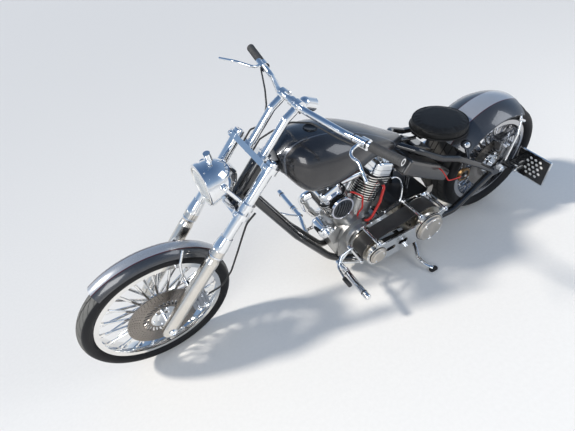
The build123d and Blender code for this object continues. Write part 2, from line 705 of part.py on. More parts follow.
def round_cover(x, z, radius, height):
    """A shallow dished cover with a stepped rim on the outer plate."""
    return spun_y(
        [
            (PLATE_OUT_Y1 + SEAT_GAP, 0), (PLATE_OUT_Y1 + SEAT_GAP, radius), (PLATE_OUT_Y1 + 4, radius),
            (PLATE_OUT_Y1 + 6, radius - 5), (PLATE_OUT_Y1 + height - 3, radius - 6),
            (PLATE_OUT_Y1 + height, radius - 12), (PLATE_OUT_Y1 + height, 0),
        ],
        x, z,
    )


primary_covers = Compound(
    children=[
        round_cover(CLUTCH_X, CLUTCH_Z, 78, 20), round_cover(CRANK_X, CRANK_Z, 46, 16),
    ]
)
FILTER_X = 1022
FILTER_Z = 330
oil_filter = spun_y(
    [(-42, 0), (-42, 30), (-38, 36), (52, 36), (56, 30), (56, 22), (62, 22), (62, 0)], FILTER_X, FILTER_Z
)
oil_filter += bar((CRANK_X + 113, 0, FILTER_Z - 30), (FILTER_X - 4, 0, FILTER_Z - 8), 16)
oil_filter -= crankcase

# Red leads: one from each head's plug down to the crankcase

REAR_LEAD = [
    (733, 75.3, 534), (735, 108, 524), (762, 118, 450), (808, 120, 372), (828, 108, 348), (828, 86.3, 343),
]
FRONT_LEAD = [
    (917, 60, 552), (884, 72, 542), (838, 84, 500), (836, 80, 420), (846, 64, 378), (850, 62, 350),
]
plug_leads = Compound(
    children=[
        tube(REAR_LEAD, [14, 40, 60, 20], 6.5) - crankcase - cylinders,
        tube(FRONT_LEAD, [30, 40, 40, 30], 4.5) - crankcase - cylinders,
    ]
)
HORN_X = 968
HORN_Z = 515
horn_cover = spun_y(
    [(84.6, 0), (84.6, 20), (96, 24), (96, 50), (102, 58), (112, 58), (112, 51), (122, 40), (126, 0)],
    HORN_X, HORN_Z,
)
for index in range(7):
    horn_cover -= Pos(HORN_X, 122, HORN_Z) * Rot(0, -22, 0) * (Pos((index - 3) * 13, 0, 0) * Box(5, 14, 96))

CREAM_BRACKET = [(1022, 306), (974, 349), (950, 330), (974.3, 262), (974.3, 236), (996, 236)]
engine_bracket = flat_plate(make_face(Polyline(*[(-x, z) for x, z in CREAM_BRACKET], close=True)), 54, 10)
engine_bracket -= oil_filter

# Controls at the rider's feet


PEG_R = 13
PEG_Y0 = 190
PEG_Y1 = 424
PEG_X = 1045
PEG_Z = 256
CONTROL_R = 8
BOSS_R = 11
BOSS_T = 20
APEX = (982, 326)
HEEL = (914, 176)


def control_bar(x1, z1, x2, z2):
    """A strut of the control's triangle, with a boss on its far end."""
    strut = bar((x1, PEG_Y0, z1), (x2, PEG_Y0, z2), CONTROL_R)
    return strut + bar((x2, PEG_Y0 - BOSS_T / 2, z2), (x2, PEG_Y0 + BOSS_T / 2, z2), BOSS_R)


peg = bar((PEG_X, PEG_Y0, PEG_Z), (PEG_X, PEG_Y1, PEG_Z), PEG_R)
peg += bar((PEG_X, PEG_Y0 - BOSS_T / 2, PEG_Z), (PEG_X, PEG_Y0 + BOSS_T / 2, PEG_Z), PEG_R + 3)
PEG_MOUNT_Y = PEG_Y0 + BOSS_T / 2 + 4
left_lever = tube(
    [(982, 196, 326), (1050, 214, 336), (1092, 250, 322), (1100, 330, 318)], [40, 40], 6
)
forward_control_left = control_bar(*APEX, PEG_X, PEG_Z) + control_bar(*HEEL, *APEX)
forward_control_left += control_bar(PEG_X, PEG_Z, *HEEL) + peg + left_lever
forward_control_left += bar((HEEL[0], PEG_Y0, HEEL[1]), (905, 100, 102), 9)
forward_control_left -= cradle_clear
right_arm = bar((PEG_X, -PEG_Y0 - 4, PEG_Z), (1076, -52, 236), 12)
right_lever = tube(
    [(PEG_X, -186, PEG_Z), (1110, -190, 300), (1176, -240, 322), (1184, -330, 318)], [40, 40], 6
)
forward_control_right = mirror(peg, about=Plane.XZ) + right_arm + right_lever
forward_control_right -= mirror(cradle_clear, about=Plane.XZ)

# Tank, oil tank, seat

TANK_SECTIONS = [
    # x, half width, top, bottom
    (1206, 46, 880, 806),
    (1165, 112, 915, 762),
    (1075, 150, 922, 716),
    (950, 158, 896, 684),
    (800, 130, 830, 664),
    (660, 78, 742, 650),
    (590, 30, 700, 652),
]


def tank_section(x, half, top, bottom):
    """An egg-shaped outline across the tank: round shoulders over a narrower flat belly."""
    waist = bottom + (top - bottom) * 0.45
    belly = half * 0.62
    with BuildLine() as outline:
        Line((-belly, bottom), (belly, bottom))
        ThreePointArc(
            (belly, bottom), (half * 0.93, bottom + (waist - bottom) * 0.42), (half, waist)
        )
        ThreePointArc((half, waist), (half * 0.74, waist + (top - waist) * 0.74), (0, top))
        ThreePointArc((0, top), (-half * 0.74, waist + (top - waist) * 0.74), (-half, waist))
        ThreePointArc(
            (-half, waist), (-half * 0.93, bottom + (waist - bottom) * 0.42), (-belly, bottom)
        )
    return Plane(origin=(x, 0, 0), x_dir=(0, 1, 0), z_dir=(1, 0, 0)) * make_face(outline.line)


fuel_tank = loft([tank_section(*row) for row in TANK_SECTIONS])
TUNNEL_GAP = 1.0
tunnel = tube(
    [neck_middle, (1120, 0, 800), (780, 0, 705), BACKBONE_END], [150, 300], BACKBONE_R + TUNNEL_GAP
)
rail_clear = tube(SEAT_RAIL_ROUTE, SEAT_RAIL_BENDS, SEAT_RAIL_R + TUNNEL_GAP)
fuel_tank = fuel_tank - tunnel - both_sides(rail_clear)
fuel_cap = Pos(1046, 0, 918) * Rot(0, 4, 0) * Cylinder(30, 10)
fuel_cap = fuel_cap - fuel_tank

OIL_PROFILE = [(650, 558), (353, 375), (322, 432), (405, 508), (600, 628)]
OIL_HALF = 130
oil_block = extrude(Plane.XZ * make_face(Polyline(*OIL_PROFILE, close=True)), OIL_HALF, both=True)
oil_tank = fillet(oil_block.edges(), 16)
oil_posts = []
for side in (1, -1):
    post = bar((552, side * 60, GEARBOX_TOP + SEAT_GAP), (552, side * 60, 510), 14)
    oil_posts.append(post - Pos(0, 0, -SEAT_GAP) * oil_block)
oil_posts = Compound(children=oil_posts)
OIL_TILT = math.degrees(math.atan2(628 - 508, 600 - 405))
battery_box = Pos(490, 0, 560.6) * Rot(0, -OIL_TILT, 0) * (Pos(0, 0, 24 + SEAT_GAP) * Box(130, 110, 48))
battery_box = fillet(battery_box.edges(), 6)

SEAT_X = 328
SEAT_Z = 635.5
SEAT_LEN = 300
SEAT_W = 276
SEAT_T = 46
SEAT_TILT = 5
PAN_INSET = 12
PAN_T = 8
PAD_GAP = 0.3
seat_plane = Pos(SEAT_X, 0, SEAT_Z) * Rot(0, -SEAT_TILT, 0)
seat_pad = seat_plane * extrude(Ellipse(SEAT_LEN / 2, SEAT_W / 2), SEAT_T)
seat_pad = fillet(seat_pad.edges(), 20)
seat_pan = seat_plane * (
    Pos(0, 0, -PAN_T - PAD_GAP)
    * extrude(Ellipse(SEAT_LEN / 2 - PAN_INSET, SEAT_W / 2 - PAN_INSET), PAN_T)
)

seat_pan -= rear_fender_clear
spine_way = Vector(BACKBONE_END[0] - 780, 0, BACKBONE_END[2] - 705).normalized()
spine_end = Vector(*BACKBONE_END)
seat_hinge = bar(spine_end + spine_way * SEAT_GAP, spine_end + spine_way * 128, 9)
seat_hinge += seat_plane * (
    Pos(SEAT_LEN / 2 - 34, 0, -PAN_T - PAD_GAP - SEAT_GAP - 3) * Box(54, 64, 6)
)
seat_hinge -= both_sides(rail_seat)
seat_hinge -= [battery_box, Pos(0, 0, SEAT_GAP) * battery_box]
seat_hinge -= fuel_tank
ignition_switch = spun_y(
    [
        (162, 0), (162, 34), (166, 38), (178, 38), (180, 34), (180, 27), (174, 25), (174, 10),
        (184, 10), (184, 0),
    ],
    280, 419,
)
ignition_switch += bar((282, 162, 500), (280, 168, 440), 8)
ignition_switch -= rail_seat

# Fork

tree_shape = Rectangle(50, 2 * LEG_Y)
for side in (1, -1):
    tree_shape += Pos(0, side * LEG_Y) * Circle(33)
tree_shape += Pos(-FORK_OFFSET / 2, 0) * Rectangle(FORK_OFFSET, 60) + Pos(-FORK_OFFSET, 0) * Circle(30)
leg_holes = Sketch() + [Pos(0, side * LEG_Y) * Circle(TUBE_R) for side in (1, -1)]
stem_hole = Pos(-FORK_OFFSET, 0) * Circle(STEM_R)
top_tree = extrude(fork_plane(TOP_TREE - TREE_T / 2) * (tree_shape - leg_holes - stem_hole), TREE_T)
lower_tree = extrude(fork_plane(LOWER_TREE - TREE_T / 2) * (tree_shape - leg_holes), TREE_T)
stem = bar(
    fork_point(LOWER_TREE, -FORK_OFFSET), fork_point(TOP_TREE + TREE_T / 2 + 14, -FORK_OFFSET), STEM_R
)
lower_tree = lower_tree + stem

LEG_PROFILE = [
    (0, -SLIDER_FOOT), (20, -SLIDER_FOOT), (27, -SLIDER_FOOT + 14), (SLIDER_R, 0),
    (SLIDER_R, 372), (26, 392), (30, 404), (30, 436), (TUBE_R + 2, SLIDER_TOP),
    (TUBE_R, SLIDER_TOP), (TUBE_R, TOP_TREE + TREE_T / 2 + 8), (0, TOP_TREE + TREE_T / 2 + 8),
]
axle_hole = bar(fork_point(0, 0, -150), fork_point(0, 0, 150), AXLE_R)
fork_legs = Compound(
    children=[
        spun(LEG_PROFILE, fork_plane(0, 0, side * LEG_Y)) - axle_hole for side in (1, -1)
    ]
)
front_axle = bar(fork_point(0, 0, -LEG_Y - 24), fork_point(0, 0, LEG_Y + 24), AXLE_R)

BAR_UP = 1047
BAR_AHEAD = -36
BAR_MIDDLE_Y = 78
BAR_BEND_R = 80
bar_tip = fork_point(1101.8, -126, 465)
bend = fork_point(1062, -108, 225)
bar_inner = fork_point(BAR_UP, BAR_AHEAD, BAR_MIDDLE_Y)
out = (bar_tip - bend).normalized()
half_route = [bar_tip, bend, bar_inner]
bar_route = half_route + [Vector(p.X, -p.Y, p.Z) for p in reversed(half_route)]
handlebar = tube(bar_route, [BAR_BEND_R] * 4, BAR_R)
risers = []
for side in (1, -1):
    riser = tube(
        [
            fork_point(TOP_TREE + TREE_T / 2, -16, side * RISER_Y), fork_point(985, -16, side * RISER_Y),
            fork_point(BAR_UP, BAR_AHEAD, side * RISER_Y),
        ],
        [50],
        RISER_R,
    )
    on_bar = fork_point(BAR_UP, BAR_AHEAD, side * RISER_Y)
    clamp = bar(on_bar - ACROSS * 15, on_bar + ACROSS * 15, 23)
    base = fork_plane(TOP_TREE + TREE_T / 2, -16, side * RISER_Y).location * Cylinder(
        24, 8, align=(Align.CENTER, Align.CENTER, Align.MIN)
    )
    bar_bore = bar(on_bar - ACROSS * 40, on_bar + ACROSS * 40, BAR_R + AXLE_FIT)
    risers.append(riser + clamp + base - bar_bore)
risers = Compound(children=risers)

GRIP_R = 17
GRIP_L = 126
grip_start = bar_tip - out * GRIP_L
grip = bar(grip_start, bar_tip, GRIP_R) - bar(grip_start - out * 5, bar_tip + out * 5, BAR_R)
grips = Compound(children=both_sides(grip))
perch_at = grip_start - out * 40
perch = bar(perch_at, perch_at + out * 30, 20) - bar(perch_at - out * 5, perch_at + out * 40, BAR_R)
LEVERS = {
    1: [(1015, -77, 290), (1024, -74, 360), (990, -75, 430)],
    -1: [(1055, -54, 290), (1034, 0, 345), (1005, 11, 430)],
}
hand_controls = []
for side, route in LEVERS.items():
    lever_route = [perch_at + out * 15 + AHEAD * 14] + [fork_point(*place) for place in route]
    blade = tube(lever_route, [30, 60], 6)
    reservoir = bar(perch_at + AHEAD * 22 - out * 16, perch_at + AHEAD * 22 + out * 34, 13)
    control = perch + blade + reservoir - bar(perch_at - out * 40, perch_at + out * 90, BAR_R + AXLE_FIT)
    hand_controls.append(control if side > 0 else mirror(control, about=Plane.XZ))
hand_controls = Compound(children=hand_controls)

POD_Y = 14
gauge_pod = bar(fork_point(1063, -90, POD_Y), fork_point(1073, -132, POD_Y), 25)
gauge_pod += Pos(fork_point(1063, -90, POD_Y)) * Sphere(25)
pod_arm = bar(fork_point(BAR_UP, BAR_AHEAD, POD_Y - 11), fork_point(BAR_UP, BAR_AHEAD, POD_Y + 11), 19)
gauge_pod += pod_arm + bar(fork_point(BAR_UP, BAR_AHEAD, POD_Y), fork_point(1063, -90, POD_Y), 9)
gauge_pod -= bar(
    fork_point(BAR_UP, BAR_AHEAD, POD_Y - 60), fork_point(BAR_UP, BAR_AHEAD, POD_Y + 60), BAR_R + AXLE_FIT
)

# Headlamp

LAMP_X = WHEELBASE - 341
LAMP_Z = 880
LAMP_R = 84
LAMP_RIM = 10
lamp_plane = Plane(origin=(LAMP_X, 0, LAMP_Z), x_dir=(0, 1, 0), z_dir=(1, 0, 0))
with BuildLine() as lamp_line:
    Line((0, -140), (0, -6))
    Line((0, -6), (LAMP_R - LAMP_RIM, -6))
    Line((LAMP_R - LAMP_RIM, -6), (LAMP_R - LAMP_RIM, 6))
    Line((LAMP_R - LAMP_RIM, 6), (LAMP_R, 0))
    Line((LAMP_R, 0), (LAMP_R, -16))
    Line((LAMP_R, -16), (LAMP_R - 3, -16))
    ThreePointArc((LAMP_R - 3, -16), (67, -92), (6, -140))
    Line((6, -140), (0, -140))
headlamp_shell = lamp_plane.location * revolve(Plane.XZ * make_face(lamp_line.line), axis=Axis.Z)
headlamp_shell += bar((LAMP_X - 78, 0, LAMP_Z - 60), (LAMP_X - 88, 0, fork_point(LOWER_TREE, 10).Z + 8), 16)
headlamp_shell += bar((LAMP_X - 50, 0, LAMP_Z + 70), (LAMP_X - 50, 0, LAMP_Z + 96), 7)
headlamp_shell += bar((LAMP_X - 50, 0, LAMP_Z + 96), (LAMP_X - 46, 0, LAMP_Z + 130), 13)
headlamp_shell -= lower_tree
LENS_R = LAMP_R - LAMP_RIM - SEAT_GAP
LENS_BULGE = 232
lens_disc = Pos(0, 0, -6 + SEAT_GAP) * Cylinder(LENS_R, 20, align=(Align.CENTER, Align.CENTER, Align.MIN))
headlamp_lens = lamp_plane.location * (lens_disc & (Pos(0, 0, 14 - LENS_BULGE) * Sphere(LENS_BULGE)))
lamp_bracket = []
for side in (1, -1):
    strap = bar(fork_point(683, 107, side * 80), fork_point(652, 14, side * 106), 9)
    strap += bar(fork_point(683, 107, side * 76), fork_point(683, 107, side * 92), 14)
    collar = Pos(fork_point(0, 0, side * LEG_Y)) * Rot(0, -RAKE, 0) * (Pos(0, 0, 652) * Cylinder(31, 24))
    strap += collar
    strap -= bar(fork_point(620, 0, side * LEG_Y), fork_point(700, 0, side * LEG_Y), TUBE_R + AXLE_FIT)
    lamp_bracket.append(strap - headlamp_shell)
lamp_bracket = Compound(children=lamp_bracket)

# Front wheel, fender and brake

HUB_FRONT_W = 100
DISC_FRONT_R = 158
at_front = Pos(WHEELBASE, 0, FRONT_AXLE_Z)
front_tyre = at_front * tyre(
    FRONT_TYRE_R, FRONT_TYRE_W, FRONT_CROWN_R, FRONT_BEAD_R, FRONT_FLANGE_R, FRONT_RIM_W
)
front_wheel_spoked = at_front * laced_wheel(
    FRONT_BEAD_R, FRONT_FLANGE_R, FRONT_RIM_W, HUB_FRONT_W, 44
)
front_disc = spun_y(
    [(50, 20), (50 + DISC_T, 20), (50 + DISC_T, DISC_FRONT_R), (50, DISC_FRONT_R)], WHEELBASE, FRONT_AXLE_Z
)
FRONT_FENDER = (FRONT_TYRE_R + 28, 100, 32, 3, 60, 152)
front_fender = at_front * fender(*FRONT_FENDER)
front_fender_clear = at_front * fender(*FRONT_FENDER, grow=SEAT_GAP)
leg_clear = [
    bar(fork_point(-60, 0, side * LEG_Y), fork_point(SLIDER_TOP, 0, side * LEG_Y), SLIDER_R + SEAT_GAP)
    for side in (1, -1)
]
fender_strut = bar(fork_point(215, 10, 96), fork_point(215, 10, 62), 11)
fender_strut += tube(
    [
        fork_point(215, 10, 66), (WHEELBASE - 140, 64, 560), (WHEELBASE - 148, 56, 604),
        (WHEELBASE - 180, 36, 648),
    ],
    [40, 30], 6,
)
fender_strut = fender_strut - leg_clear - front_fender_clear - front_fender
front_fender_struts = Compound(children=both_sides(fender_strut))
FRONT_CALIPER = FRONT_AXLE + Vector(-158, 0, 12.8)
front_caliper = caliper(FRONT_CALIPER, 65, 74, 54, 92, 50 + DISC_T / 2, DISC_FRONT_R, FRONT_AXLE)
front_caliper += bar(fork_point(130, -24, 104), (FRONT_CALIPER.X + 14, 84, FRONT_CALIPER.Z + 8), 9)
front_caliper -= leg_clear
HOSE_R = 4
HOSE = [
    # up the fork, ahead, y
    (640, -34, 146), (587, -29.5, 141.5), (533, -56, 131), (428, -97, 125), (320, -141, 115),
    (217, -164, 100),
]
hose_route = [fork_point(up, ahead, y) for up, ahead, y in HOSE]
hose_route += [Vector(FRONT_CALIPER.X - 52, 86, FRONT_CALIPER.Z + 12)]
hose_route += [Vector(FRONT_CALIPER.X - 37.2, 84, FRONT_CALIPER.Z + 4)]
front_hose = tube(hose_route, [60, 60, 120, 160, 90, 12], HOSE_R) - lower_tree - front_caliper
CABLE_R = 3.5
TREE_TOP = TOP_TREE + TREE_T / 2 + SEAT_GAP
LEFT_CABLE = [
    (1054, -119, 306), (1034, -120, 200), (1022, -88, 95), (983, -50, 42), (915, -26, 6), (868, -8, -8),
    (TREE_TOP, -8, -8),
]
RIGHT_CABLE = [
    (1059, -103, -306), (1040, -84, -250), (1013, -52, -165), (972, -46, -108), (906, -50, -76),
    (868, -14, -84), (TREE_TOP, -14, -84),
]
perch_clear = both_sides(bar(perch_at - out * SEAT_GAP, perch_at + out * 30, 20 + SEAT_GAP))
control_cables = []
for route in (LEFT_CABLE, RIGHT_CABLE):
    cable = tube([fork_point(*place) for place in route], [60, 50, 40, 50, 16], CABLE_R)
    control_cables.append(cable - perch_clear - handlebar - risers)
brake_hose = Compound(children=[front_hose] + control_cables)

# Side stand: a curved leg on a pivot under the left rail

foot_z = STAND_FOOT[1] * math.tan(LEAN_RAD) - SINK / math.cos(LEAN_RAD)
stand_foot = Vector(STAND_FOOT[0], STAND_FOOT[1], foot_z + 10)
pivot = Vector(*STAND_PIVOT)
side_stand = tube(
    [
        pivot + Vector(2, 9, -1), Vector(606, 292, 76), Vector(598, 340, foot_z + 30),
        stand_foot + Vector(-8, 14, 6),
    ],
    [60, 22],
    STAND_R,
)
side_stand += Pos(pivot) * Cylinder(STAND_EYE_R, STAND_EYE_T)
floor_up = Vector(0, -math.sin(LEAN_RAD), math.cos(LEAN_RAD))
foot_plate = Vector(STAND_FOOT[0] - 14, STAND_FOOT[1], foot_z) + floor_up * 4
side_stand += Pos(foot_plate) * Rot(LEAN, 0, 0) * Box(54, 46, 8)
side_stand -= bar(pivot - Vector(0, 0, 40), pivot + Vector(0, 0, 40), STAND_PIN_R + AXLE_FIT)

bracket_solids = list(frame_crossmembers.solids()) + list(oil_posts.solids())
frame_brackets = Compound(children=bracket_solids + [exhaust_hanger, battery_box])
FRAME_NODES = dict(
    frame_spine=frame_spine, frame_cradle=frame_cradle, frame_rear_rails=frame_rear_rails,
    frame_brackets=frame_brackets,
    fender_stays=fender_stays, drive_chain=drive_chain, ignition_switch=ignition_switch,
    rear_axle=rear_axle, rear_fender=rear_fender, rear_caliper=rear_caliper,
    plate_bracket=plate_bracket, licence_plate=licence_plate, rear_indicators=rear_indicators,
    crankcase=Compound(children=[crankcase, engine_bracket]), cylinders=cylinders,
    rocker_covers=rocker_covers, pushrod_tubes=pushrod_tubes,
    air_cleaner=air_cleaner, exhausts=exhausts, gearbox=gearbox,
    primary_inner_plate=primary_inner_plate, primary_posts=primary_posts, primary_belt=primary_belt,
    primary_pulleys=primary_pulleys, primary_outer_plate=primary_outer_plate,
    primary_covers=primary_covers, oil_filter=oil_filter, plug_leads=plug_leads, horn_cover=horn_cover,
    forward_control_left=forward_control_left, forward_control_right=forward_control_right,
    fuel_tank=fuel_tank, fuel_cap=fuel_cap, oil_tank=oil_tank,
    seat_pan=Compound(children=[seat_pan, seat_hinge]), seat_pad=seat_pad,
)
REAR_WHEEL_NODES = dict(
    rear_tyre=rear_tyre, rear_wheel_spoked=rear_wheel_spoked, rear_disc=rear_disc,
    rear_sprocket=rear_sprocket,
)
STAND_NODES = dict(side_stand=side_stand)
FORK_NODES = dict(
    top_tree=top_tree, lower_tree=lower_tree, fork_legs=fork_legs, front_axle=front_axle,
    handlebar=handlebar, risers=risers, grips=grips, hand_controls=hand_controls,
    headlamp_shell=headlamp_shell, headlamp_lens=headlamp_lens, front_fender=front_fender,
    front_caliper=front_caliper, front_fender_struts=front_fender_struts, brake_hose=brake_hose,
    lamp_bracket=lamp_bracket, gauge_pod=gauge_pod,
)
FRONT_WHEEL_NODES = dict(
    front_tyre=front_tyre, front_wheel_spoked=front_wheel_spoked, front_disc=front_disc
)


def lean_over(shape):
    """Leans an upright piece to the left about the line the machine stands on."""
    return shape.rotate(Axis.X, -LEAN)


BODIES = dict(
    frame=FRAME_NODES, rear_wheel=REAR_WHEEL_NODES, fork=FORK_NODES,
    front_wheel=FRONT_WHEEL_NODES, side_stand=STAND_NODES,
)
placed = {}
for body, nodes in BODIES.items():
    for name, shape in nodes.items():
        if body in ("fork", "front_wheel"):
            shape = shape.rotate(STEER_AXIS, STEER)
        placed[name] = lean_over(shape)
low = Vector(1e9, 1e9, 1e9)
high = Vector(-1e9, -1e9, -1e9)
for shape in placed.values():
    box = shape.bounding_box()
    low = Vector(min(low.X, box.min.X), min(low.Y, box.min.Y), min(low.Z, box.min.Z))
    high = Vector(max(high.X, box.max.X), max(high.Y, box.max.Y), max(high.Z, box.max.Z))
to_middle = Vector(-(low.X + high.X) / 2, -(low.Y + high.Y) / 2, -SINK)
print("box", low, high, "sink", SINK)

os.makedirs("parts", exist_ok=True)
for name, shape in placed.items():
    export_step(Pos(to_middle) * shape, f"parts/{name}.step")


def placed_line(label, name, point, along, steered=False, **sizes):
    """Prints a point and a direction as they are once the machine leans in its place."""
    start = Vertex(*point)
    end = Vertex(*(point + along * 100))
    if steered:
        start = start.rotate(STEER_AXIS, STEER)
        end = end.rotate(STEER_AXIS, STEER)
    start = lean_over(start).center() + to_middle
    end = lean_over(end).center() + to_middle
    direction = (end - start).normalized()
    print(label, name, [round(v, 3) for v in start], [round(v, 8) for v in direction], sizes)


def mirrored(point, side):
    """A point or direction on the left, or its image on the right when side is negative."""
    return Vector(point.X, point.Y * side, point.Z)


placed_line("joint", "rear_wheel", REAR_AXLE, ACROSS)
placed_line("joint", "front_wheel", FRONT_AXLE, ACROSS, steered=True)
placed_line("joint", "steering", STEER_POINT, UP_FORK, steered=True)
placed_line("joint", "side_stand", Vector(*STAND_PIVOT), Vector(0, 0, 1))

peg_middle = Vector(PEG_X, (PEG_MOUNT_Y + PEG_Y1) / 2, PEG_Z)
for side, hand in ((1, "left"), (-1, "right")):
    placed_line(
        "mount", "grip_" + hand, mirrored(bar_tip - out * GRIP_L / 2, side), mirrored(out, side),
        steered=True, r_mm=GRIP_R, length_mm=GRIP_L,
    )
    placed_line(
        "mount", "peg_" + hand, mirrored(peg_middle, side), mirrored(ACROSS, side),
        r_mm=PEG_R, length_mm=PEG_Y1 - PEG_MOUNT_Y,
    )
open_low = lean_over(Vertex(1128, -60, 475)).center() + to_middle
open_high = lean_over(Vertex(1162, 60, 600)).center() + to_middle
print("opening", "ahead_of_engine", [list(open_low), list(open_high)])
print("bodies", {body: list(nodes) for body, nodes in BODIES.items()})
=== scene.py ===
import json
import math
import bmesh
import bpy
import numpy as np
from mathutils import Matrix, Vector


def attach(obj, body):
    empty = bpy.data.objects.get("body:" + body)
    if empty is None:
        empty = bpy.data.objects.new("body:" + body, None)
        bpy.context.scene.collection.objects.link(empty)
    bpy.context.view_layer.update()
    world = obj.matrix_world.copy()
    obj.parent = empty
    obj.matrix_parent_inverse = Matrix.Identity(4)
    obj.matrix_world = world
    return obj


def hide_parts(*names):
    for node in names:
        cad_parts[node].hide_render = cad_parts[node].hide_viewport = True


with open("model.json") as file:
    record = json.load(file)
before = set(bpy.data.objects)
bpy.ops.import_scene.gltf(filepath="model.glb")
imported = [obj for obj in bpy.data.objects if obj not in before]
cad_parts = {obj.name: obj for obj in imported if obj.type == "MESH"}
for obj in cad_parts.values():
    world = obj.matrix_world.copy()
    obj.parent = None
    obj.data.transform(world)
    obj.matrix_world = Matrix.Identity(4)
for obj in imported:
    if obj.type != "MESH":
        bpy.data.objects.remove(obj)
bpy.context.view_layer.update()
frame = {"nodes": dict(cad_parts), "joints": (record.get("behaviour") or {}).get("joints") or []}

# Stance. A long rigid machine leans on its side stand with the bars turned a little to the left.
# Pieces are drawn upright in millimetres, x forward from the rear axle, y left, z up from the
# road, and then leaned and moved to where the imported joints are.
MM = 0.001
REAR_RADIUS = 328
FORK_OFFSET = 57.7
RAKE = 43.4
LEAN = 10.0
BARS_TURNED = 6.8


def shift(x, y=0, z=0):
    """A move by three lengths."""
    return Matrix.Translation((x, y, z))


def spun(degrees, axis):
    """A turn by that angle about an axis."""
    return Matrix.Rotation(math.radians(degrees), 4, axis)


joints = {joint["name"]: joint for joint in frame["joints"]}
lean = spun(-LEAN, "X")
rear_hub = Vector(joints["rear_wheel_spin"]["pos_m"])
UPRIGHT = (
    Matrix.Translation(rear_hub - lean @ Vector((0, 0, REAR_RADIUS / 1000)))
    @ lean @ Matrix.Scale(MM, 4)
)
rake = math.radians(RAKE)
FORK_UP = Vector((-math.sin(rake), 0, math.cos(rake)))
FORK_AHEAD = Vector((math.cos(rake), 0, math.sin(rake)))
steer_point = UPRIGHT.inverted() @ Vector(joints["steering"]["pos_m"])
front_axle = steer_point + FORK_AHEAD * FORK_OFFSET
TURNED = (
    UPRIGHT @ Matrix.Translation(steer_point)
    @ spun(BARS_TURNED, FORK_UP) @ Matrix.Translation(-steer_point)
)
REAR_WHEEL = UPRIGHT @ shift(0, 0, REAR_RADIUS)
FRONT_WHEEL = TURNED @ Matrix.Translation(front_axle)
FORK = FRONT_WHEEL @ spun(-RAKE, "Y")

# Camera. It stands at the photograph's place, left of the front wheel and well above the bars,
# and looks down and back along the machine.
CAMERA_AT = (1706.70, 1194.56, 1838.55)
CAMERA_AXES = Matrix((
    (-0.870301, -0.408444, 0.275224), (0.482543, -0.595217, 0.642549),
    (-0.098627, 0.692019, 0.715110)
)).to_4x4()
LENS_PER_PIXEL = 408.75 / 575
camera = bpy.data.objects.new("camera", bpy.data.cameras.new("camera"))
camera.matrix_world = Matrix.Translation(UPRIGHT @ Vector(CAMERA_AT)) @ lean @ CAMERA_AXES
camera.data.sensor_width = 36
camera.data.lens = 36 * LENS_PER_PIXEL
camera.data.clip_start = 0.05
bpy.context.scene.collection.objects.link(camera)
bpy.context.scene.camera = camera
bpy.context.scene.view_settings.view_transform = "Standard"


# Floor and light. A wide pale floor and a soft sky over it, with one broad lamp high in front on
# the left, where the photograph's sun stands, and a weaker one behind.
class Wire:
    """A socket among a finish's nodes; arithmetic on it adds Math nodes, either way round."""

    def __init__(self, finish, socket):
        self.finish = finish
        self.socket = socket

    def sum(self, operation, *values):
        """A Math node over those values, or over this one alone."""
        return self.finish.add("ShaderNodeMath", {"operation": operation}, *(values or [self]))

    __add__ = __radd__ = lambda self, other: self.sum("ADD", self, other)
    __mul__ = __rmul__ = lambda self, other: self.sum("MULTIPLY", self, other)
    __sub__ = lambda self, other: self.sum("SUBTRACT", self, other)
    __rsub__ = lambda self, other: self.sum("SUBTRACT", other, self)
    __truediv__ = lambda self, other: self.sum("DIVIDE", self, other)
    __pow__ = lambda self, other: self.sum("POWER", self, other)

    def size(self):
        return self.sum("ABSOLUTE")

    def clip(self):
        """This value held between 0 and 1."""
        return self.finish.add("ShaderNodeClamp", {}, self)

    def above(self, edge, soft):
        """0 below the edge and 1 above it, with a soft step between."""
        return ((self - edge) / soft + 0.5).clip()


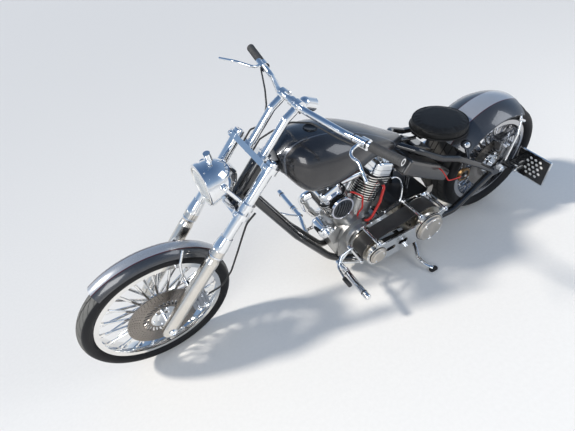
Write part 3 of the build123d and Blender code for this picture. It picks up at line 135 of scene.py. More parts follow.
class Finish:
    """A material's nodes: add puts in any node, and look sets what the surface shows."""

    def __init__(self, name, owner=None):
        self.owner = owner or bpy.data.materials.new(name)
        self.owner.use_nodes = True
        self.tree = self.owner.node_tree
        self.skin = self.tree.nodes.get("Principled BSDF")

    def add(self, kind, settings, *values, take=0, **named):
        """One node: its settings first, then its sockets by order or name; gives one output."""
        node = self.tree.nodes.new(kind)
        for key, value in settings.items():
            if key == "stops":
                ramp = node.color_ramp.elements
                while len(ramp) < len(value):
                    ramp.new(0.5)
                for stop, (place, colour) in zip(ramp, value):
                    stop.position = place
                    stop.color = (*colour, 1.0)
            else:
                setattr(node, key, value)
        for key, value in [*enumerate(values), *named.items()]:
            key = key.replace("_", " ") if isinstance(key, str) else key
            self.join(node.inputs[key], value)
        return Wire(self, node.outputs[take])

    def join(self, socket, value):
        """Links a wire to a socket, or sets the socket's own value."""
        if isinstance(value, Wire):
            self.tree.links.new(value.socket, socket)
        elif hasattr(value, "__len__") and len(value) == 3 and len(socket.default_value) == 4:
            socket.default_value = (*value, 1.0)
        else:
            socket.default_value = value

    def look(self, **shown):
        """Sets or links the surface's own sockets, words joined by underscores."""
        for key, value in shown.items():
            self.join(self.skin.inputs[key.replace("_", " ")], value)

    def noise(self, scale, detail=2.0):
        """Cloudy noise over the piece, about 0.5 on average."""
        return self.add(
            "ShaderNodeTexNoise", {}, Vector=self.place(), Scale=scale, Detail=detail
        )

    def place(self, frame_at=None):
        """Object coordinates, or the same point in metres in another frame."""
        here = self.add("ShaderNodeTexCoord", {}, take="Object")
        if frame_at is None:
            return here
        spot, turn, _ = frame_at.decompose()
        return self.add(
            "ShaderNodeMapping", {"vector_type": "TEXTURE"}, here,
            Location=spot, Rotation=turn.to_euler()
        )

    def parts(self, vector):
        """The x, y and z of a vector as three wires."""
        split = self.add("ShaderNodeSeparateXYZ", {}, vector).socket.node
        return [Wire(self, socket) for socket in split.outputs]

    def blend(self, amount, first, second):
        """A colour that goes from the first to the second as amount goes from 0 to 1."""
        node = self.tree.nodes.new("ShaderNodeMix")
        node.data_type = "RGBA"
        for index, value in ((0, amount), (6, first), (7, second)):
            self.join(node.inputs[index], value)
        return Wire(self, node.outputs[2])

    def raised(self, height, distance, strength):
        """Bumps the surface by a height between 0 and 1, of that distance in metres."""
        self.look(Normal=self.add(
            "ShaderNodeBump", {}, Height=height, Distance=distance, Strength=strength
        ))


floor_finish = Finish("floor")
speck = floor_finish.noise(60.0, 4.0)
floor_finish.look(
    Base_Color=floor_finish.blend(speck, (0.76, 0.73, 0.68), (0.82, 0.79, 0.74)), Roughness=0.85
)
FLOOR_HALF = 60.0
floor_mesh = bpy.data.meshes.new("floor")
corners = [(-1, -1), (1, -1), (1, 1), (-1, 1)]
floor_mesh.from_pydata([(FLOOR_HALF * x, FLOOR_HALF * y, 0) for x, y in corners], [], [range(4)])
floor_mesh.materials.append(floor_finish.owner)
floor = bpy.data.objects.new("floor", floor_mesh)
bpy.context.scene.collection.objects.link(floor)

sky = Finish("sky", bpy.data.worlds.new("sky"))
bpy.context.scene.world = sky.owner
height = sky.parts(sky.add("ShaderNodeTexCoord", {}, take="Generated"))[2]
tint = sky.add("ShaderNodeValToRGB", {"stops": [
    (0.0, (0.62, 0.61, 0.59)), (0.49, (0.95, 0.94, 0.92)), (0.54, (0.66, 0.74, 0.85)),
    (0.68, (0.24, 0.36, 0.55)), (1.0, (0.08, 0.15, 0.29)),
]}, height * 0.5 + 0.5)
backdrop = sky.tree.nodes["Background"]
sky.join(backdrop.inputs["Color"], tint)
backdrop.inputs["Strength"].default_value = 1.0

for name, spot, aim, kind, size, power, colour in (
    ("sun_lamp", (2.6, -0.9, 3.2), (0.0, 0.0, 0.4), "SUN", 0.10, 3.0, (1.0, 0.96, 0.90)),
    ("side_lamp", (2.4, 2.6, 2.0), (0.2, 0.0, 0.4), "AREA", 1.6, 45, (1.0, 0.99, 0.97)),
    ("back_lamp", (-2.8, 2.2, 2.6), (-0.4, 0.0, 0.4), "AREA", 2.0, 40, (0.93, 0.96, 1.0)),
):
    lamp = bpy.data.objects.new(name, bpy.data.lights.new(name, kind))
    setattr(lamp.data, "angle" if kind == "SUN" else "size", size)
    lamp.data.energy = power
    lamp.data.color = colour
    facing = (Vector(aim) - Vector(spot)).to_track_quat("-Z", "Y").to_matrix().to_4x4()
    lamp.matrix_world = Matrix.Translation(spot) @ facing
    bpy.context.scene.collection.objects.link(lamp)


# Frame, swingless and welded from round tube, with its brackets and the pan under the seat, all
# in deep black gloss over a slightly wavy tube wall.
def dressed(finish, *names):
    """Gives CAD nodes one finish."""
    for name in names:
        frame["nodes"][name].data.materials.clear()
        frame["nodes"][name].data.materials.append(finish.owner)


frame_black = Finish("frame_black")
dust = frame_black.noise(9.0, 5.0)
frame_black.look(
    Base_Color=frame_black.blend(
        dust.above(0.58, 0.3), (0.008, 0.008, 0.009), (0.022, 0.021, 0.02)
    ),
    Roughness=dust * 0.16 + 0.08, Coat_Weight=0.6, Coat_Roughness=0.05
)
frame_black.raised(frame_black.noise(34.0), 0.0004, 0.12)
dressed(
    frame_black, "frame_spine", "frame_cradle", "frame_rear_rails", "frame_brackets",
    "plate_bracket", "seat_pan"
)


# Chrome, thick and warm at the edges of what it reflects, with a faint haze of dust, on the
# fork, bars, lamp, pipes, pegs and small fittings.
def chrome_finish(name, haze, colour=(0.86, 0.87, 0.88)):
    """Bright plating whose roughness wanders with a thin dust."""
    plated = Finish(name)
    cloud = plated.noise(14.0, 4.0)
    plated.look(
        Base_Color=plated.blend(cloud.above(0.6, 0.35), colour, [0.93 * c for c in colour]),
        Metallic=1.0, Roughness=cloud * haze + 0.03
    )
    plated.raised(plated.noise(180.0), 0.0002, 0.05)
    return plated


chrome = chrome_finish("chrome", 0.10)
dressed(
    chrome, "rear_axle", "rocker_covers", "pushrod_tubes", "exhausts", "primary_posts",
    "forward_control_left", "forward_control_right", "front_axle", "handlebar", "risers",
    "hand_controls", "headlamp_shell", "rear_indicators", "gauge_pod", "front_fender_struts",
    "top_tree", "lower_tree", "lamp_bracket", "air_cleaner", "oil_filter"
)


# Fuel tank, a stretched teardrop of beaten sheet steel over the backbone. Charcoal metallic
# panels on its sides stand inside a darker band that is edged with a thin pale line.
def shell(points, round_u=False, round_v=False, ends=False):
    """Faces over a grid of points (i, j): each joins i to i+1 and j to j+1, round where closed."""
    rows, columns = points.shape[:2]
    i, j = np.meshgrid(
        np.arange(rows - 1 + round_u), np.arange(columns - 1 + round_v), indexing="ij"
    )
    i2, j2 = (i + 1) % rows, (j + 1) % columns
    faces = np.stack([i * columns + j, i * columns + j2, i2 * columns + j2, i2 * columns + j], -1)
    faces = faces.reshape(-1, 4).tolist()
    if ends:
        faces += [list(range(columns)), list(range((rows - 1) * columns, rows * columns))]
    return points.reshape(-1, 3), faces


def joined(made):
    """A list of shells as one; a single shell stays as it is."""
    if isinstance(made, tuple):
        return made
    start, points, faces = 0, [], []
    for some, some_faces in made:
        points.append(some)
        faces += [[index + start for index in face] for face in some_faces]
        start += len(some)
    return np.concatenate(points), faces


def piece(
    name, made, frame_at=UPRIGHT, body="frame", finish=chrome, sharp=32, replaces=()
):
    """A mesh from shells drawn in that frame, closed, facing outwards and riding on a body."""
    points, faces = joined(made)
    matrix = np.array(frame_at)
    mesh = bpy.data.meshes.new(name)
    mesh.from_pydata((points @ matrix[:3, :3].T + matrix[:3, 3]).tolist(), [], faces)
    work = bmesh.new()
    work.from_mesh(mesh)
    bmesh.ops.remove_doubles(work, verts=work.verts, dist=2e-6)
    bmesh.ops.recalc_face_normals(work, faces=work.faces)
    work.to_mesh(mesh)
    work.free()
    mesh.shade_smooth()
    mesh.set_sharp_from_angle(angle=math.radians(sharp))
    mesh.materials.append(finish.owner)
    thing = bpy.data.objects.new(name, mesh)
    bpy.context.scene.collection.objects.link(thing)
    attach(thing, body)
    if replaces:
        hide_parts(*replaces)
    return thing


def turned(profile, sides=96, loop=False):
    """A profile of (height, radius) points carried round the z axis; loop joins its two ends."""
    height, radius = np.array(profile, float).T[:, :, None]
    t = np.linspace(0, 2 * np.pi, sides, endpoint=False)
    points = np.stack([radius * np.cos(t), radius * np.sin(t), height + 0 * t], -1)
    return shell(points, round_u=loop, round_v=True, ends=not loop)


def repeated(made, places):
    """A copy of some shells at one 4x4 place or at each of several."""
    points, faces = joined(made)
    places = np.array(places).reshape(-1, 4, 4)
    copies = np.einsum("kij,nj->kni", places[:, :3, :3], points) + places[:, None, :3, 3]
    faces = [
        [index + k * len(points) for index in face] for k in range(len(places)) for face in faces
    ]
    return copies.reshape(-1, 3), faces


def aimed(spot, direction=(0, 1, 0)):
    """A place at a spot whose z axis points in that direction."""
    facing = Vector(direction).to_track_quat("Z", "Y").to_matrix().to_4x4()
    return Matrix.Translation(spot) @ facing


def both_sides(spot, direction=(0, 1, 0)):
    """An aimed place and its mirror image on the other side."""
    (x, y, z), (a, b, c) = spot, direction
    return [aimed((x, side * y, z), (a, side * b, c)) for side in (1, -1)]


def round_places(count, reach=0, height=0, start=0.0):
    """Places in equal turns about the z axis, at that reach from it and that height."""
    return [
        Matrix.Rotation(start + 2 * math.pi * k / count, 4, "Z") @ shift(reach, 0, height)
        for k in range(count)
    ]


def screw(radius, height, sides=20):
    """A cap screw that stands on z: a rounded head with a socket sunk in its top."""
    return turned([
        (0, radius), (0.75 * height, radius), (height, 0.8 * radius), (height, 0.5 * radius),
        (0.45 * height, 0.44 * radius), (0.45 * height, 0),
    ], sides)


def nut(radius, height):
    """A six-sided nut with a chamfered top and a domed end of thread."""
    return joined([
        turned([(0, radius), (0.8 * height, radius), (height, 0.84 * radius), (height, 0)], 6),
        turned([(height, 0.5 * radius), (1.35 * height, 0.45 * radius), (1.5 * height, 0)], 20),
    ])


def carried(route, radius, sides=16, across=(0.0, 1.0, 0.0)):
    """A round section, of one radius or one at each point, carried along a route."""
    ahead = np.gradient(route, axis=0)
    side = np.cross(ahead, across)
    side /= np.linalg.norm(side, axis=1)[:, None]
    up = np.cross(side, ahead)
    up /= np.linalg.norm(up, axis=1)[:, None]
    t = np.linspace(0, 2 * np.pi, sides, endpoint=False)[:, None]
    reach = np.broadcast_to(radius, len(route))[:, None, None]
    rings = route[:, None] + reach * (side[:, None] * np.cos(t) + up[:, None] * np.sin(t))
    return shell(rings, round_v=True, ends=True)


def smooth_rows(table, count):
    """Rows of a table, its first column the place, run through by smooth cubic curves."""
    table = np.array(table, float)
    at, rows = table[:, 0], table[:, 1:]
    place = np.linspace(at[0], at[-1], count)
    slope = np.gradient(rows, at, axis=0)
    k = np.clip(np.searchsorted(at, place) - 1, 0, len(at) - 2)
    span = (at[k + 1] - at[k])[:, None]
    t = (place - at[k])[:, None] / span
    curve = (
        (2 * t ** 3 - 3 * t ** 2 + 1) * rows[k] + (t ** 3 - 2 * t ** 2 + t) * span * slope[k]
        + (3 * t ** 2 - 2 * t ** 3) * rows[k + 1] + (t ** 3 - t ** 2) * span * slope[k + 1]
    )
    return place, curve


TANK_ROWS = [
    # x, half width, top, bottom
    (590, 30, 700, 658), (660, 68, 742, 670), (800, 112, 828, 698), (950, 155, 896, 686),
    (1060, 158, 922, 682), (1160, 124, 915, 718), (1206, 60, 884, 790),
]
WAIST = 0.45
ROUND_ARCH, SQUARE_BELLY = 0.87, 0.60


def tank_shell():
    """Rings along the tank: above the waist a round arch, below it a squarer belly.

    A ring is half width times cos t to a power across and its height times sin t to a power up;
    the first and last rings close to a point over a few millimetres.
    """
    place, rows = smooth_rows(TANK_ROWS, 150)
    half, top, bottom = rows.T
    waist = bottom + (top - bottom) * WAIST
    t = np.linspace(0, 2 * np.pi, 128, endpoint=False)
    power = np.where(np.sin(t) > 0, ROUND_ARCH, SQUARE_BELLY)
    across, rise = (np.sign(wave) * np.abs(wave) ** power for wave in (np.cos(t), np.sin(t)))
    tall = np.where(rise > 0, (top - waist)[:, None], (waist - bottom)[:, None])
    rings = np.stack([
        place[:, None] + 0 * rise, half[:, None] * across, waist[:, None] + tall * rise
    ], -1)
    caps = []
    for end, sign in ((0, -1), (-1, 1)):
        middle = rings[end].mean(0)
        turn = np.linspace(0, np.pi / 2, 9)[1:]
        cap = middle + (rings[end] - middle) * np.cos(turn)[:, None, None]
        cap[:, :, 0] += sign * half[end] * 0.22 * np.sin(turn)[:, None]
        caps.append(cap[::sign])
    return shell(np.concatenate([caps[0], rings, caps[1]]), round_v=True)


def flake_paint(name, *colours):
    """Clear-coated metallic paint: fine flakes that vary in brightness between two colours."""
    paint = Finish(name)
    flake = paint.add("ShaderNodeTexVoronoi", {}, Vector=paint.place(), Scale=2600.0, take="Color")
    spark = paint.parts(flake)[0]
    paint.look(Metallic=0.55, Roughness=spark * 0.08 + 0.26, Coat_Weight=1.0, Coat_Roughness=0.03)
    if colours:
        paint.look(Base_Color=paint.blend(spark, *colours))
    return paint, spark


tank_paint, spark = flake_paint("tank_paint")
x, y, _ = tank_paint.parts(tank_paint.place(UPRIGHT))
lower_edge = y.size() - (0.052 + (1.16 - x) * 0.03)
inside = x.sum("SMOOTH_MIN", lower_edge, 1.204 - x, 0.03)
panel = inside.above(0.004, 0.0012)
line = 1 - (inside.size() - 0.0005).above(0.0020, 0.001)
# The top band's paint is tinted blue as a painted reflection of the sky over the tank's top; the
# side panels' colour is the paint's own.
band_colour_and_sky_tint = tank_paint.blend(spark, (0.012, 0.014, 0.018), (0.030, 0.034, 0.042))
side_colour = tank_paint.blend(spark, (0.014, 0.013, 0.014), (0.034, 0.032, 0.034))
coloured = tank_paint.blend(panel, band_colour_and_sky_tint, side_colour)
tank_paint.look(Base_Color=tank_paint.blend(line, coloured, (0.10, 0.11, 0.13)))
piece(
    "tank_skin", tank_shell(), finish=tank_paint, sharp=60,
    replaces=["fuel_tank"]
)


# Fenders, rolled from sheet steel. Both are charcoal with a wide silver stripe down the middle,
# edged with a thin dark red line.
CHARCOAL = (0.035, 0.036, 0.040), (0.075, 0.077, 0.083)


def fender_finish(name, frame_at, half_stripe):
    """Charcoal with a silver stripe of that half width, and a red line along each edge."""
    paint, spark = flake_paint(name)
    across = paint.parts(paint.place(frame_at))[1].size()
    stripe = 1 - across.above(half_stripe, 0.0008)
    edge = 1 - (across - half_stripe).size().above(0.0016, 0.0006)
    silver = paint.blend(spark, (0.34, 0.35, 0.37), (0.52, 0.53, 0.55))
    striped = paint.blend(stripe, paint.blend(spark, *CHARCOAL), silver)
    paint.look(Base_Color=paint.blend(edge, striped, (0.10, 0.012, 0.014)))
    return paint


dressed(fender_finish("rear_fender_paint", UPRIGHT, 0.052), "rear_fender")
dressed(fender_finish("front_fender_paint", FRONT_WHEEL, 0.022), "front_fender")
oil_paint, _ = flake_paint("oil_tank_paint", (0.045, 0.042, 0.040), (0.075, 0.070, 0.066))
dressed(oil_paint, "oil_tank")


# Fuel cap and the fenders' rolled edges. The cap is a low black lid with a raised round rim; a
# bead of round wire is rolled into each long edge of both fenders.
cap_black = Finish("cap_black")
cap_black.look(
    Base_Color=(0.012, 0.012, 0.013), Roughness=cap_black.noise(60.0) * 0.2 + 0.12, Metallic=0.6
)
lid = turned([(-9, 29), (-1.5, 30), (1.6, 29.2), (2.8, 27), (2.4, 24.8), (1.2, 23.4), (1.4, 0)], 72)
piece(
    "fuel_cap_lid", repeated(lid, shift(1046, 0, 921) @ spun(-7.6, "Y")), finish=cap_black,
    sharp=50, replaces=["fuel_cap"]
)
fender_edge = flake_paint("fender_edge_paint", *CHARCOAL)[0]
for name, frame_at, body, radius, half_width, first, last, thick in (
    ("rear_fender_beads", REAR_WHEEL, "frame", 289.5, 139.5, -52.5, 22.5, 2.6),
    ("front_fender_beads", FRONT_WHEEL, "fork", 334, 47.5, -26, 56, 2.2),
):
    t = np.radians(np.linspace(first, last, 90))
    edges = [
        np.stack([-radius * np.sin(t), side * half_width + 0 * t, radius * np.cos(t)], -1)
        for side in (1, -1)
    ]
    beads = [carried(edge, thick, 10) for edge in edges]
    piece(name, beads, frame_at, body, fender_edge)


# Tyres, moulded rubber. The front one is narrow with slanting curved cuts, the back one very wide
# with a grooved crown. Dust greys the tread while the side walls stay black.
def arc_points(start, middle, end, count):
    """Points at equal angles on the circle through three points of a plane."""
    a, b, c = np.array([complex(*point) for point in (start, middle, end)])
    ratio = (c - a) / (b - a)
    centre = a + (b - a) * (ratio - abs(ratio) ** 2) / (2j * ratio.imag)
    angles = np.unwrap(np.angle(np.array([a, b, c]) - centre))
    points = centre + abs(a - centre) * np.exp(1j * np.linspace(angles[0], angles[2], count))
    return np.stack([points.real, points.imag], -1)


def tyre_shell(radius, width, bead, flange, seat, crown, rings, cuts, slant, depth, rounds, across):
    """A tyre's section carried round the axle, its crown sunk by depth along grooves.

    Ring grooves run at the distances in rings from the middle; cuts cross the shoulder, each a
    curve whose angle grows with the distance from the middle times slant.
    """
    edge = width * 0.36
    edge_r = radius - (crown - math.sqrt(crown ** 2 - edge ** 2))
    wall = arc_points((seat, flange), (width / 2, (flange + edge_r) / 2), (edge, edge_r), 20)
    top = arc_points((edge, edge_r), (0, radius), (-edge, edge_r), across)[1:-1]
    other = wall[::-1] * (-1, 1)
    profile = np.concatenate([[(seat, bead)], wall, top, other, [(-seat, bead)]])
    y, r = profile.T[:, :, None]
    t = np.linspace(0, 2 * np.pi, rounds, endpoint=False)[None]
    ring = np.max([np.clip(2.2 - np.abs(np.abs(y) - place), 0, 1) for place in rings], axis=0)
    phase = (t * cuts / (2 * np.pi) + np.abs(y) / edge * slant + (y > 0) * 0.5) % 1
    pitch = 2 * np.pi * radius / cuts
    cross = np.clip(2.4 - np.abs(phase - 0.5) * pitch, 0, 1) * (np.abs(y) > rings[0] + 3)
    sunk = np.maximum(ring, cross) * depth * np.clip((edge * 1.05 - np.abs(y)) / 3, 0, 1)
    reach = r - sunk
    points = np.stack([reach * np.cos(t), y + 0 * t, reach * np.sin(t)], -1)
    return shell(points, round_u=True, round_v=True)


def tyre_finish(name, frame_at, edge, radius, crown, dust):
    """Black rubber: dust greys the crown where it runs, and fine rings mark the walls."""
    rubber = Finish(name)
    x, y, z = rubber.parts(rubber.place(frame_at))
    reach = (x * x + z * z) ** 0.5
    cloud = rubber.noise(26.0, 5.0)
    tread = 1 - y.size().above(edge, 0.004)
    fall = (crown * crown - y * y) ** 0.5
    running = (reach - fall + (crown - radius)).above(-0.0014, 0.001)
    dusty = tread * running * (cloud * 0.6 + 0.45).clip()
    rubber.look(
        Base_Color=rubber.blend(dusty, (0.007, 0.007, 0.008), dust),
        Roughness=dusty * 0.3 + 0.55, Specular_IOR_Level=0.25
    )
    wave = (reach * 900.0).sum("SINE")
    rubber.raised(wave * (1 - tread) * 0.5 + rubber.noise(420.0, 3.0) * 0.35, 0.0006, 0.5)
    return rubber


for end, frame_at, form, shown in (
    ("front", FRONT_WHEEL, (338, 86, 267, 282, 23.7, 48, [0.0], 44, 1.5, 3.2, 640, 84),
     (0.030, 0.338, 0.048, (0.19, 0.185, 0.17))),
    ("rear", REAR_WHEEL, (328, 250, 229, 246, 99.7, 190, [22.0, 56.0], 34, 0.9, 4.5, 560, 110),
     (0.088, 0.328, 0.190, (0.05, 0.048, 0.044))),
):
    piece(
        end + "_tyre_tread", tyre_shell(*form), frame_at, end + "_wheel",
        tyre_finish(end + "_tyre_rubber", frame_at, *shown), 40, [end + "_tyre"]
    )


# Wheels, chromed. Forty thick spokes a wheel, alternately from the two hub flanges, screw into
# nipples in the rim. A valve stands in each rim, and a domed cover closes each hub end.
wheel_chrome = chrome_finish("wheel_chrome", 0.07, (0.88, 0.87, 0.85))
# The rear wheel's chrome is darkened as painted shade, for the fender's shadow over that wheel.
rear_chrome_painted_shade = chrome_finish("rear_chrome_painted_shade", 0.12, (0.50, 0.50, 0.51))
dressed(wheel_chrome, "front_wheel_spoked")
dressed(rear_chrome_painted_shade, "rear_wheel_spoked")
SPOKE_COUNT = 40


def spoke_places(bead, rim_width, hub_width, flange_r):
    """A place at each spoke's foot, its z axis along the spoke, and the spoke's length."""
    k = np.arange(SPOKE_COUNT)
    angle = 2 * math.pi * k / SPOKE_COUNT
    side = np.where(k % 2, 1, -1)
    round_about = np.stack([np.cos(angle), 0 * angle, np.sin(angle)], -1)
    across = np.stack([0 * angle, side, 0 * angle], -1)
    foot = round_about * (flange_r - 5) + across * (hub_width / 2 - 15.5)
    head = round_about * (bead - 9) + across * rim_width * 0.12
    reach = float(np.linalg.norm(head[0] - foot[0]))
    return [aimed(start, end - start) for start, end in zip(foot, head)], reach


for wheel, frame_at, plating, bead, rim_width, hub_width, flange_r in (
    ("front_wheel", FRONT_WHEEL, wheel_chrome, 267, 60, 100, 44),
    ("rear_wheel", REAR_WHEEL, rear_chrome_painted_shade, 229, 212, 210, 62),
):
    places, reach = spoke_places(bead, rim_width, hub_width, flange_r)
    spoke = turned([(1, 4.4), (8, 5.9), (reach - 24, 5.9), (reach - 3, 5.2)], 14)
    nipple = turned([(reach - 20, 6.2), (reach - 18, 7.6), (reach - 4, 7.6), (reach - 1, 6.4)], 6)
    piece(wheel + "_spokes", repeated([spoke, nipple], places), frame_at, wheel, plating)
    half = hub_width / 2
    cover = turned([
        (half - 6, flange_r * 0.5), (half + 1, flange_r * 0.5), (half + 4, flange_r * 0.42),
        (half + 4, 14),
    ], 64)
    screws = repeated(screw(3.4, 3.0, 12), round_places(10, flange_r * 0.78, half - 12.2))
    valve = turned([(0, 5), (6, 5), (8, 3.6), (24, 3.6), (24, 5), (34, 5), (36, 3)], 16)
    piece(wheel + "_hub_covers", [
        repeated([cover, screws], both_sides((0, 0, 0))),
        repeated(valve, aimed((0, 0, 12 - bead), (0.0, 0.2, 1.0)))
    ], frame_at, wheel)


# Brake discs, cut from steel plate and left brushed. Each is drilled in staggered rows, with a fan
# of slanting slots inside, and hangs on a small chrome carrier that is screwed to the hub.
def cut_plate(outlines, thickness):
    """A flat plate about the xy plane: closed outlines, the inner ones holes, by a filled curve."""
    curve = bpy.data.curves.new("cut", "CURVE")
    curve.dimensions = "2D"
    curve.fill_mode = "BOTH"
    curve.extrude = thickness / 2
    for outline in outlines:
        spline = curve.splines.new("POLY")
        spline.points.add(len(outline) - 1)
        flat = np.pad(outline, ((0, 0), (0, 2)))
        flat[:, 3] = 1
        spline.points.foreach_set("co", flat.ravel())
        spline.use_cyclic_u = True
    thing = bpy.data.objects.new("cut", curve)
    mesh = bpy.data.meshes.new_from_object(thing)
    points = np.empty(len(mesh.vertices) * 3)
    mesh.vertices.foreach_get("co", points)
    faces = [list(polygon.vertices) for polygon in mesh.polygons]
    bpy.data.objects.remove(thing)
    bpy.data.curves.remove(curve)
    bpy.data.meshes.remove(mesh)
    return points.reshape(-1, 3), faces


def outline_at(reach, count, x=0.0, y=0.0):
    """A closed outline round (x, y), its reach one length or one at each of its angles."""
    t = np.linspace(0, 2 * np.pi, count, endpoint=False)
    return np.stack([x + reach * np.cos(t), y + reach * np.sin(t)], -1)


def slot_outline(x, y, length, width, heading, count=6):
    """A straight slot's outline with round ends, turned to a heading in radians."""
    t = np.linspace(-np.pi / 2, np.pi / 2, count)
    end = np.stack([length / 2 + width / 2 * np.cos(t), width / 2 * np.sin(t)], -1)
    c, s = math.cos(heading), math.sin(heading)
    return np.concatenate([end, -end]) @ np.array([(c, s), (-s, c)]) + (x, y)


DISC_BORE = 52


def drilled_disc(outer, hole, rows, slots, slot_r):
    """A disc's outlines: rim, bore, rows of (radius, count) holes and a fan of slanting slots."""
    outlines = [outline_at(outer, 120), outline_at(DISC_BORE, 60)]
    for k, (radius, count) in enumerate(rows):
        for angle in (np.arange(count) + 0.5 * (k % 2)) * 2 * np.pi / count:
            x, y = radius * math.cos(angle), radius * math.sin(angle)
            outlines.append(outline_at(hole, 10, x, y))
    for angle in np.arange(slots) * 2 * np.pi / slots:
        x, y = slot_r * math.cos(angle), slot_r * math.sin(angle)
        outlines.append(slot_outline(x, y, slot_r * 0.30, 8, angle + 0.6))
    return outlines


def mottled(name, dark, light, cloud, rough, grit=None, relief=None, **shown):
    """A finish that goes from dark to light over one noise, and its roughness with it.

    cloud and grit are a noise's scale and detail. Roughness, a gain and a base, and relief, a
    bump's depth and strength, follow grit where it is given.
    """
    finish = Finish(name)
    wander = finish.noise(*cloud)
    fine = finish.noise(*grit) if grit else wander
    colour = finish.blend(wander, dark, light)
    finish.look(Base_Color=colour, Roughness=fine * rough[0] + rough[1], **shown)
    if relief:
        finish.raised(fine, *relief)
    return finish


FACING_LEFT = spun(-90, "X")
disc_steel = mottled(
    "disc_steel", (0.22, 0.20, 0.18), (0.34, 0.31, 0.28), (20, 4), (0.14, 0.24), (300, 3),
    (0.0002, 0.2), Metallic=1.0
)
dressed(disc_steel, "rear_sprocket")
FRONT_ROWS = (150, 60), (140, 54), (130, 48), (120, 44), (110, 40)
REAR_ROWS = (137, 54), (126, 48), (115, 44)
for end, frame_at, middle, outlines in (
    ("front", FRONT_WHEEL, 53, drilled_disc(158, 2.6, FRONT_ROWS, 30, 82)),
    ("rear", REAR_WHEEL, 108, drilled_disc(146, 2.8, REAR_ROWS, 26, 78)),
):
    place, body, disc = frame_at @ shift(0, middle) @ FACING_LEFT, end + "_wheel", end + "_disc"
    plate = cut_plate(outlines, 5.6)
    piece(disc + "_plate", plate, place, body, disc_steel, 30, [disc])
    carrier = turned([(-3.0, 60), (4.2, 60), (4.2, 34), (9, 28), (9, 13)], 64)
    screws = repeated(screw(5.0, 4.0), round_places(6, 50, 4.2))
    piece(disc + "_carrier", [carrier, screws], place, body)


# Chain and sprockets, on the right. Pressed link plates, alternately wide and narrow, on steel
# rollers, round a toothed wheel on the hub and a small one on the gearbox.
CHAIN_Y = -139
CHAIN_BACK = (0.0, 328.0, 101.5)
CHAIN_FRONT = (536.0, 246.0, 43.5)
LINKS = 98
PITCH = 15.9


def chain_path(count):
    """Equal steps along the chain: each place's x, z and heading.

    The steps are an upper run, the front circle, a lower run and the back circle. The lower run
    is out of place: it leads on forward from the front circle, not back to the hub.
    """
    (x1, z1, r1), (x2, z2, r2) = CHAIN_BACK, CHAIN_FRONT
    reach = math.hypot(x2 - x1, z2 - z1)
    heading = math.atan2(z2 - z1, x2 - x1)
    side = math.acos((r1 - r2) / reach)
    run = reach * math.sin(side)
    starts = np.cumsum([0, run, 2 * side * r2, run, 2 * (math.pi - side) * r1])
    s = np.linspace(0, starts[-1], count, endpoint=False)
    k = np.searchsorted(starts, s, side="right") - 1
    u = s - starts[k]
    angle = heading + np.choose(k, [side, side - u / r2, -side, -side - u / r1])
    x, z, radius = (np.where(k % 3, front, back) for back, front in zip(CHAIN_BACK, CHAIN_FRONT))
    slide = np.select([k == 0, k == 2], [u, -u])
    x = x + radius * np.cos(angle) + slide * np.sin(angle)
    return x, z + radius * np.sin(angle) - slide * np.cos(angle), angle - math.pi / 2


def link(half_width):
    """Two waisted plates and the roller between them: x along the chain, y across it."""
    t = np.linspace(0, 2 * np.pi, 20, endpoint=False)
    along = (PITCH / 2 + 4.6) * np.cos(t)
    tall = (4.4 - 1.1 * np.sin(t) ** 2) * np.sin(t) * 1.25
    made = [shell(np.stack([
        np.c_[along, side * half_width + edge + 0 * t, tall] for edge in (-0.7, 0.7)
    ]), round_v=True, ends=True) for side in (1, -1)]
    roller = turned([(1 - half_width, 4.2), (half_width - 1, 4.2)], 12)
    return joined(made + [repeated(roller, shift(PITCH / 2) @ FACING_LEFT)])


places = [
    shift(x, CHAIN_Y, z) @ Matrix.Rotation(-turn, 4, "Y") for x, z, turn in zip(*chain_path(LINKS))
]
chain_steel = mottled(
    "chain_steel", (0.10, 0.095, 0.09), (0.34, 0.33, 0.31), (80, 4), (0.3, 0.28), (120,),
    Metallic=1.0
)
piece(
    "chain_links", [repeated(link(8.0), places[0::2]), repeated(link(5.8), places[1::2])],
    finish=chain_steel, sharp=40, replaces=["drive_chain"]
)
TEETH = 40
t = np.linspace(0, 2 * np.pi, TEETH * 8, endpoint=False)
tooth_reach = 95.5 + 8 * np.clip(np.cos(t * TEETH) * 0.9 + 0.35, 0, 1)
piece(
    "rear_sprocket_teeth", cut_plate([outline_at(tooth_reach, TEETH * 8), outline_at(88, 60)], 5.2),
    REAR_WHEEL @ shift(0, CHAIN_Y) @ FACING_LEFT, "rear_wheel", disc_steel
)


# Fork. Chromed tubes slide in cast legs that are polished to a warm satin. A tapered chrome cover
# closes each leg's top; screws pinch both trees, and the risers are bolted up through the top.
LEG_Y = 119
slider_metal = Finish("slider_metal")
leg = 1 - slider_metal.parts(slider_metal.place(FORK))[2].above(0.4505, 0.0006)
soft_cloud = slider_metal.noise(30.0, 4.0)
satin = slider_metal.blend(soft_cloud, (0.66, 0.62, 0.56), (0.76, 0.73, 0.68))
slider_metal.look(
    Base_Color=slider_metal.blend(leg, (0.86, 0.87, 0.88), satin), Metallic=1.0,
    Roughness=leg * 0.16 + soft_cloud * 0.06 + 0.03
)
dressed(slider_metal, "fork_legs")
rubber_black = mottled(
    "rubber_black", (0.010, 0.010, 0.010), (0.030, 0.029, 0.028), (40, 4), (0.2, 0.5), (90,)
)
sides = [shift(0, side * LEG_Y) for side in (1, -1)]
cover = turned([(440, 29.6), (440, 31.4), (452, 31.6), (468, 29.4), (500, 25.6), (501, 23)], 64)
piece("fork_covers", repeated(cover, sides), FORK, "fork")
ring = turned([(403, 29.8), (404.5, 31), (410, 31), (411.5, 29.8)], 48)
cap = turned([(837, 22), (841, 22), (845, 19), (845, 11), (843, 10), (843, 0)], 48)
axle_cap = turned([(22, 19), (31, 19), (35, 16), (36.5, 9), (35.5, 8), (33, 7), (33, 0)], 40)
